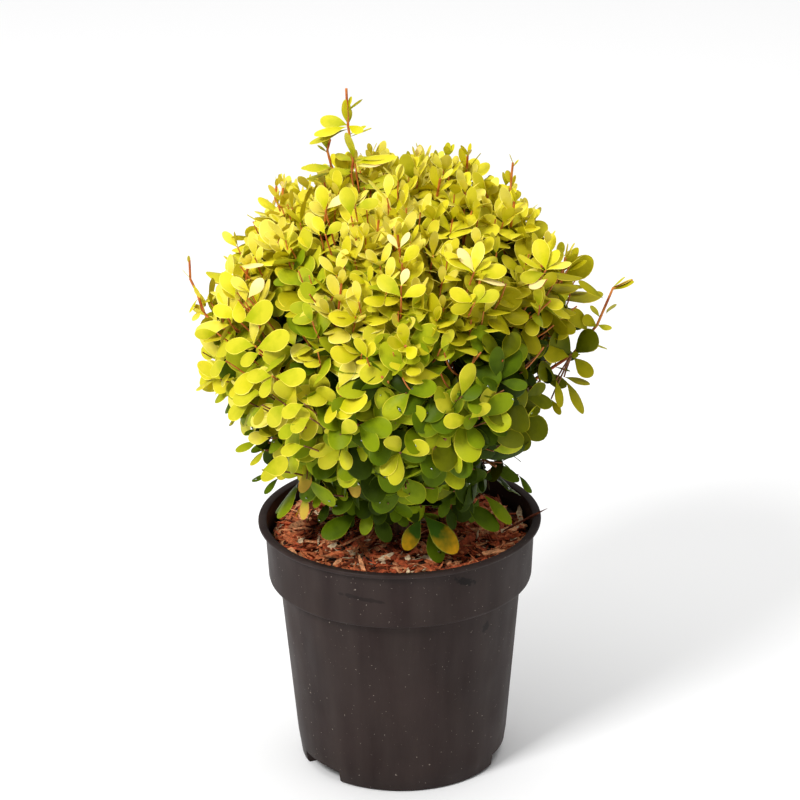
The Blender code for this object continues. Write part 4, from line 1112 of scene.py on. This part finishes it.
# Leaf tints: colour at the stalk and at the tip, the most light for which a tuft has it, colour of the
# rim, and slot. The deep and dark greens stand partly for painted shade inside and under the crown, the golds
# partly for painted light; both are partly the leaves' own colour.
LEAF_TINTS = (
    ("leaf_deep_green", (0.015, 0.027, 0.0004), (0.029, 0.050, 0.0010), 0.25, (0.060, 0.088, 0.004), "leaf_green"),
    ("leaf_green", (0.042, 0.074, 0.001), (0.082, 0.132, 0.002), 0.37, (0.130, 0.170, 0.006), "leaf_green"),
    ("leaf_mid_green", (0.115, 0.176, 0.002), (0.205, 0.270, 0.004), 0.49, (0.330, 0.345, 0.012), "leaf_green"),
    ("leaf_lime", (0.235, 0.305, 0.004), (0.390, 0.420, 0.010), 0.60, (0.580, 0.530, 0.036), "leaf_lime"),
    ("leaf_yellow_lime", (0.390, 0.415, 0.006), (0.590, 0.545, 0.022), 0.72, (0.760, 0.655, 0.070), "leaf_lime"),
    ("leaf_gold", (0.545, 0.520, 0.004), (0.695, 0.610, 0.022), 0.88, (0.870, 0.740, 0.100), "leaf_gold"),
    ("leaf_bright_gold", (0.685, 0.605, 0.022), (0.795, 0.685, 0.085), 9.0, (0.950, 0.820, 0.220), "leaf_bright_gold"),
    ("leaf_olive_green", (0.075, 0.092, 0.001), (0.135, 0.150, 0.002), None, (0.300, 0.270, 0.010), "leaf_green"),
    ("leaf_olive_gold", (0.300, 0.285, 0.002), (0.440, 0.390, 0.006), None, (0.660, 0.540, 0.030), "leaf_gold"),
    ("leaf_cream", (0.900, 0.790, 0.220), (0.950, 0.760, 0.320), None, (0.920, 0.640, 0.280), "leaf_bright_gold"),
    ("leaf_orange", (0.260, 0.310, 0.016), (0.600, 0.400, 0.050), None, (0.620, 0.220, 0.050), "leaf_gold"),
    ("leaf_ageing", (0.045, 0.110, 0.004), (0.950, 0.460, 0.010), None, (0.300, 0.300, 0.030), "leaf_lime"),
)
# Where the sky shows through the crown: a point on the sight line and half the gap's width
# Hollows of the crown, where the leaves lie deeper and get darker tints as painted shade, and sprays whose
# leaves get lighter tints as painted light: middle, radius and change of light
PAINTED_SHADE_AND_LIGHT = (
    (Vector((-0.068, -0.064, 0.377)), 0.026, -0.50),
    (Vector((-0.069, -0.090, 0.353)), 0.028, -0.70),
    (Vector((-0.015, -0.126, 0.316)), 0.022, -0.42),
    (Vector((0.068, -0.108, 0.320)), 0.030, -0.24),
    (Vector((0.006, -0.126, 0.286)), 0.036, -0.16),
    (Vector((-0.035, -0.080, 0.385)), 0.020, 0.14),
    (Vector((-0.036, -0.104, 0.355)), 0.025, 0.22),
    (Vector((-0.040, -0.118, 0.325)), 0.024, 0.20),
    (Vector((-0.082, -0.100, 0.276)), 0.042, 0.30),
)
SKY_GAPS = ((Vector((0.0340, 0.0, 0.2840)), 0.0044), (Vector((0.0576, 0.0, 0.2122)), 0.0026))


def leaf_point(leaf_shape, side, along):
    """A point on a leaf one metre long: side runs from -1 to 1 across it, along from the stalk to the tip."""
    width, curl, fold, arch, twist = leaf_shape
    if along < LEAF_WIDEST:
        swell = along / LEAF_WIDEST
        half = (3 * swell**2 - 2 * swell**3) ** 0.8 * width / 2
    else:
        half = (1 - ((along - LEAF_WIDEST) / (1 - LEAF_WIDEST)) ** 2) ** 0.54 * width / 2
    across = side * half
    height = fold * abs(across) + arch * across * across / width - curl * along * along
    return Vector((across, along, height + twist * across * along))


def leaf_template(leaf_shape):
    """A leaf that lies along +Y with its upper side to +Z: a thin closed lens, its rim a second finish."""
    shape = bmesh.new()
    for columns, below in ((UPPER_COLUMNS, 0.0), (UNDER_COLUMNS, LEAF_THICKNESS)):
        steps = (len(columns) - 1, len(LEAF_ROWS) - 1)
        grid = bmesh.ops.create_grid(shape, x_segments=steps[0], y_segments=steps[1], size=0.5)
        faces = list({face for vertex in grid["verts"] for face in vertex.link_faces})
        for face in faces:
            outermost = abs(face.calc_center_median().x) > 0.5 - 1 / len(columns)
            face.material_index = 1 if outermost and not below else 0
        for vertex in grid["verts"]:
            side = columns[round((vertex.co.x + 0.5) * steps[0])]
            along = LEAF_ROWS[round((vertex.co.y + 0.5) * steps[1])]
            vertex.co = leaf_point(leaf_shape, side, along)
            if abs(side) < 1 and 0 < along < 1:
                vertex.co.z -= below
        if below:
            bmesh.ops.reverse_faces(shape, faces=faces)
    bmesh.ops.remove_doubles(shape, verts=shape.verts, dist=1e-4)
    shape.verts.index_update()
    return shape


def clear_of_pot(point):
    """Whether a point is above the mulch, by more the nearer it is to the rim, and clear of the rim."""
    flat = math.hypot(point.x, point.y)
    if point.z < GROUND + 0.003 + 0.9 * max(0.0, flat - 0.035):
        return False
    return point.z > POT_HEIGHT + 0.0015 or flat < collar_inside(GROUND) - 0.003


def inside_box(point):
    """Whether a point is within the plant's own size."""
    return all(cad_box[0][k] + BOX_MARGIN < point[k] < cad_box[1][k] - BOX_MARGIN for k in range(3))


def painted_light_change_at(place):
    """The change of painted light at a point: painted shade in the hollows, painted light on the bright sprays."""
    return sum(change * (1 - share_of((place - middle).length / radius, 0.5, 1.0)) for middle, radius, change in PAINTED_SHADE_AND_LIGHT)


def leaf_tint(place, rng, number):
    """The tint of a tuft, picked by a painted light: yellow high up, outside and on the lit left, green low down
    and inside, where the darker tints are painted shade, and darker still in the hollows. The yellow in the sun
    is partly the leaves' own colour.

    High up and on the right the dull ones are olive gold instead of green.
    """
    offset = place - CROWN_MIDDLE
    inside = 1 - share_of(offset.length / reach(offset.normalized()), 0.60, 0.98)
    high = share_of(place.z, 0.32, 0.40)
    low = share_of(-place.z, -0.31, -0.23)
    # Painted light: lighter tints high up, outside and on the left, where the main light falls, darker ones inside the
    # crown and for tufts further down each shoot, which is painted shade.
    light = 0.44 + 0.48 * share_of(place.z, 0.195, 0.385) + 0.03 * low - (0.54 - 0.36 * high) * inside
    light += 0.02 * high + rng.gauss(0.0, 0.09 + 0.02 * low) - (0.062 - 0.040 * high) * number
    light -= (0.07 + 0.04 * low) * place.x / CROWN_RADIUS
    light += 0.13 * share_of(-place.x, 0.045, 0.095)
    light += 0.05 * share_of(place.x, 0.06, 0.10)
    # Painted shade in the hollows of the crown and painted light on the bright sprays.
    shade = painted_light_change_at(place)
    light += shade
    warm = 0.6 * share_of(place.z, 0.325, 0.375) + share_of(place.x, 0.015, 0.080) * share_of(place.z, 0.31, 0.35)
    if shade > -0.1 and light < 0.66 and rng.random() < warm:
        return "leaf_olive_gold"
    tint = next(row[0] for row in LEAF_TINTS if light < row[3])
    if tint in ("leaf_green", "leaf_mid_green") and rng.random() < share_of(place.x, 0.03, 0.08):
        return "leaf_olive_green"
    return tint


def hides_gap(middle, size):
    """Whether a leaf with that middle and length stands in one of the sight lines to the sky."""
    for gap, half_width in SKY_GAPS:
        sight = (gap - camera.location).normalized()
        off = middle - camera.location
        if (off - sight * off.dot(sight)).length < half_width + 0.30 * size:
            return True
    return False


def leaf_matrix(place, along, normal, size):
    """Where a leaf of that size lies that grows from a place along one way, its upper side to another."""
    normal = (normal - along * normal.dot(along)).normalized()
    across = along.cross(normal)
    matrix = Matrix((across * size, along * size, normal * size)).transposed().to_4x4()
    matrix.translation = place
    return matrix


def leaf_skin(name, stalk_colour, tip_colour, turns, gloss):
    """Leaf skin: one tone at the stalk and one at the tip, the change between them blotched, faint grain."""
    leaf, leaf_tree, leaf_shader = principled(name, tip_colour, 0.42, gloss)
    own_place = add_node(leaf_tree, "ShaderNodeAttribute", attribute_name="own_place")
    apart = add_node(leaf_tree, "ShaderNodeSeparateXYZ")
    leaf_tree.links.new(own_place.outputs["Vector"], apart.inputs["Vector"])
    along = add_node(leaf_tree, "ShaderNodeMath", operation="MULTIPLY")
    along.inputs[1].default_value = 0.5
    leaf_tree.links.new(apart.outputs["Y"], along.inputs[0])
    blotched = add_node(leaf_tree, "ShaderNodeMath", operation="MULTIPLY_ADD")
    blotched.inputs[1].default_value = 0.5
    leaf_tree.links.new(noise_at(leaf_tree, 130.0, 2.0), blotched.inputs[0])
    leaf_tree.links.new(along.outputs["Value"], blotched.inputs[2])
    tone = two_colours(leaf_tree, blotched.outputs["Value"], stalk_colour, tip_colour, *turns)
    leaf_tree.links.new(tone, leaf_shader.inputs["Base Color"])
    bumps(leaf_tree, leaf_shader, noise_at(leaf_tree, 480.0, 3.0), 0.25, 0.0005)
    return leaf


leaf_rng = random.Random(LEAF_SEED)
leaf_kinds = [leaf_template(leaf_shape) for leaf_shape in LEAF_SHAPES]
leaf_places = {tint[0]: [] for tint in LEAF_TINTS}
for branch in leafy:
    line, kind = branch["line"], branch["kind"]
    turn = leaf_rng.uniform(0, 2 * math.pi)
    run = line_length(line)
    back = FIRST_TUFT + branch["bare"]
    for number in range(TUFT_COUNT[kind]):
        if back > run * 0.92:
            break
        place, grows = line_point(line, back)
        low = share_of(-place.z, -0.345, -0.215)
        grown = number + (1 if kind not in ("long", "upright") and place.z < 0.335 else 0)
        leaves, lean, length, shapes = TUFTS[kind][min(grown, len(TUFTS[kind]) - 1)]
        length *= 1.04 + 0.14 * share_of(-place.z, -0.375, -0.30) - 0.08 * share_of(place.z, 0.33, 0.38)
        tint = leaf_tint(place, leaf_rng, number)
        side, other = sides_of(grows)
        outward = (place - CROWN_MIDDLE).normalized()
        facing = (outward + UP * 0.3).normalized()
        outer = OUTER_SHARE + leaf_rng.uniform(-RAGGED, RAGGED)
        outer += 0.06 * share_of(place.z, 0.33, 0.37) * (1 - share_of(abs(outward.x), 0.35, 0.60))
        outer -= 0.10 * share_of(-place.z, -0.29, -0.24) + 0.17 * thinned(place)
        outer -= 0.09 * share_of(outward.x, 0.70, 0.90) * share_of(place.z, 0.28, 0.31)
        # Leaves in the painted-shade hollows also lie deeper in the crown.
        outer += 0.16 * min(0.0, painted_light_change_at(place))
        for i in range(leaves):
            turn += GOLDEN_ANGLE + leaf_rng.uniform(-0.35, 0.35)
            tilt = math.radians(max(6.0, lean + leaf_rng.uniform(-12, 12)))
            size = length * leaf_rng.uniform(0.66, 1.16)
            out = side * math.cos(turn) + other * math.sin(turn)
            along = grows * math.cos(tilt) + out * math.sin(tilt) - UP * 0.65 * low * math.sin(tilt)
            along = (along + outward * 0.15).normalized()
            inner = grows * math.sin(tilt) - out * math.cos(tilt) * 0.8
            normal = inner + facing * (0.35 + 0.5 * low)
            normal = Quaternion(along, leaf_rng.gauss(0, 0.28)) @ normal
            half = along.cross(normal).normalized() * size * 0.3
            widest = place + along * size * LEAF_WIDEST
            corners = [widest + half, widest - half, place + along * size]
            if not all(clear_of_pot(corner) and inside_box(corner) for corner in corners):
                continue
            offset = corners[2] - CROWN_MIDDLE
            limit = reach(offset.normalized()) * (outer + (0.05 if kind == "leaning" else 0.0))
            if branch["trimmed"] and offset.length > limit:
                continue
            if hides_gap(widest, size):
                continue
            own = tint
            if number == 0 and kind == "upright" and leaf_rng.random() < CREAM_SHARE:
                own = "leaf_cream"
                size *= CREAM_SIZE
            matrix = leaf_matrix(place + along * 0.0005, along, normal, size)
            leaf_places[own].append((matrix, leaf_rng.choice(shapes)))
        back += TUFT_SPACING * leaf_rng.uniform(0.85, 1.15)
for base, tip, tint in hanging:
    along = (tip - base).normalized()
    facing = Vector((base.x, base.y, 0)).normalized() + UP * 0.7
    matrix = leaf_matrix(base, along, facing, (tip - base).length)
    leaf_places[tint].append((matrix, leaf_rng.choice(HANGING_SHAPES)))
for base, tip, leaf_kind, tint in PLACED_LEAVES:
    base, tip = Vector(base), Vector(tip)
    facing = Vector((leaf_rng.uniform(-0.4, 0.4), 0.1 if leaf_kind in NARROW else -0.5, 0.9))
    matrix = leaf_matrix(base, (tip - base).normalized(), facing, (tip - base).length)
    leaf_places[tint].append((matrix, leaf_kind))
for base, tip, leaf_kind, tint in FLANK_LEAVES:
    base, tip = Vector(base), Vector(tip)
    facing = Vector((leaf_rng.uniform(-0.3, 0.3), -0.15 if leaf_kind in NARROW else -0.8, 0.75))
    matrix = leaf_matrix(base, (tip - base).normalized(), facing, (tip - base).length * (1.0 if base.x > 0 else 0.92))
    leaf_places[tint].append((matrix, leaf_kind))
for tint, stalk_colour, tip_colour, _, rim_colour, slot in LEAF_TINTS:
    paler_rim = tuple(min(1.0, c * 1.15) for c in rim_colour)
    turns = (0.46, 0.80) if tint == "leaf_ageing" else (0.34, 0.60)
    gloss = 0.06 if slot == "leaf_green" else 0.08
    skins = [leaf_skin(tint, stalk_colour, tip_colour, turns, gloss)]
    skins.append(leaf_skin(tint + "_rim", rim_colour, paler_rim, turns, gloss))
    leaf_piece = joined_copies(tint + "_leaves", leaf_kinds, leaf_places[tint], skins, math.radians(70))

# The water drops
# A few small drops left from watering, which lie on the green leaves of the middle and of the foot of
# the crown and shine white where they face the light.
DROP_SEED = 3
DROP_SHARE = 0.20
drop_rng = random.Random(DROP_SEED)
drop_shape = bmesh.new()
bmesh.ops.create_uvsphere(drop_shape, u_segments=8, v_segments=5, radius=0.5)
drop_shape.verts.index_update()
for tint, dull_colour, _, _, _, slot in LEAF_TINTS[:4]:
    drop_places = []
    for matrix, leaf_kind in leaf_places[tint]:
        if matrix.translation.z > 0.33 or drop_rng.random() > DROP_SHARE:
            continue
        size = matrix.col[1].to_3d().length
        on_leaf = leaf_point(LEAF_SHAPES[leaf_kind], drop_rng.uniform(-0.7, 0.7), drop_rng.uniform(0.45, 0.95))
        spread = Matrix.Rotation(drop_rng.uniform(0, math.pi), 4, "Z")
        wide = drop_rng.uniform(0.0011, 0.0021)
        flattened = Matrix.Diagonal((wide * drop_rng.uniform(1.0, 1.8) / size, wide / size, 0.0010 / size, 1))
        drop_places.append((matrix @ Matrix.Translation(on_leaf) @ spread @ flattened, 0))
    water, _, water_shader = principled("water_on_" + tint, dull_colour, 0.05, 1.0)
    water_shader.inputs["IOR"].default_value = 2.0
    water_shader.inputs["Coat Weight"].default_value = 1.0
    drops = joined_copies("drops_on_" + tint, [drop_shape], drop_places, [water], math.radians(80))
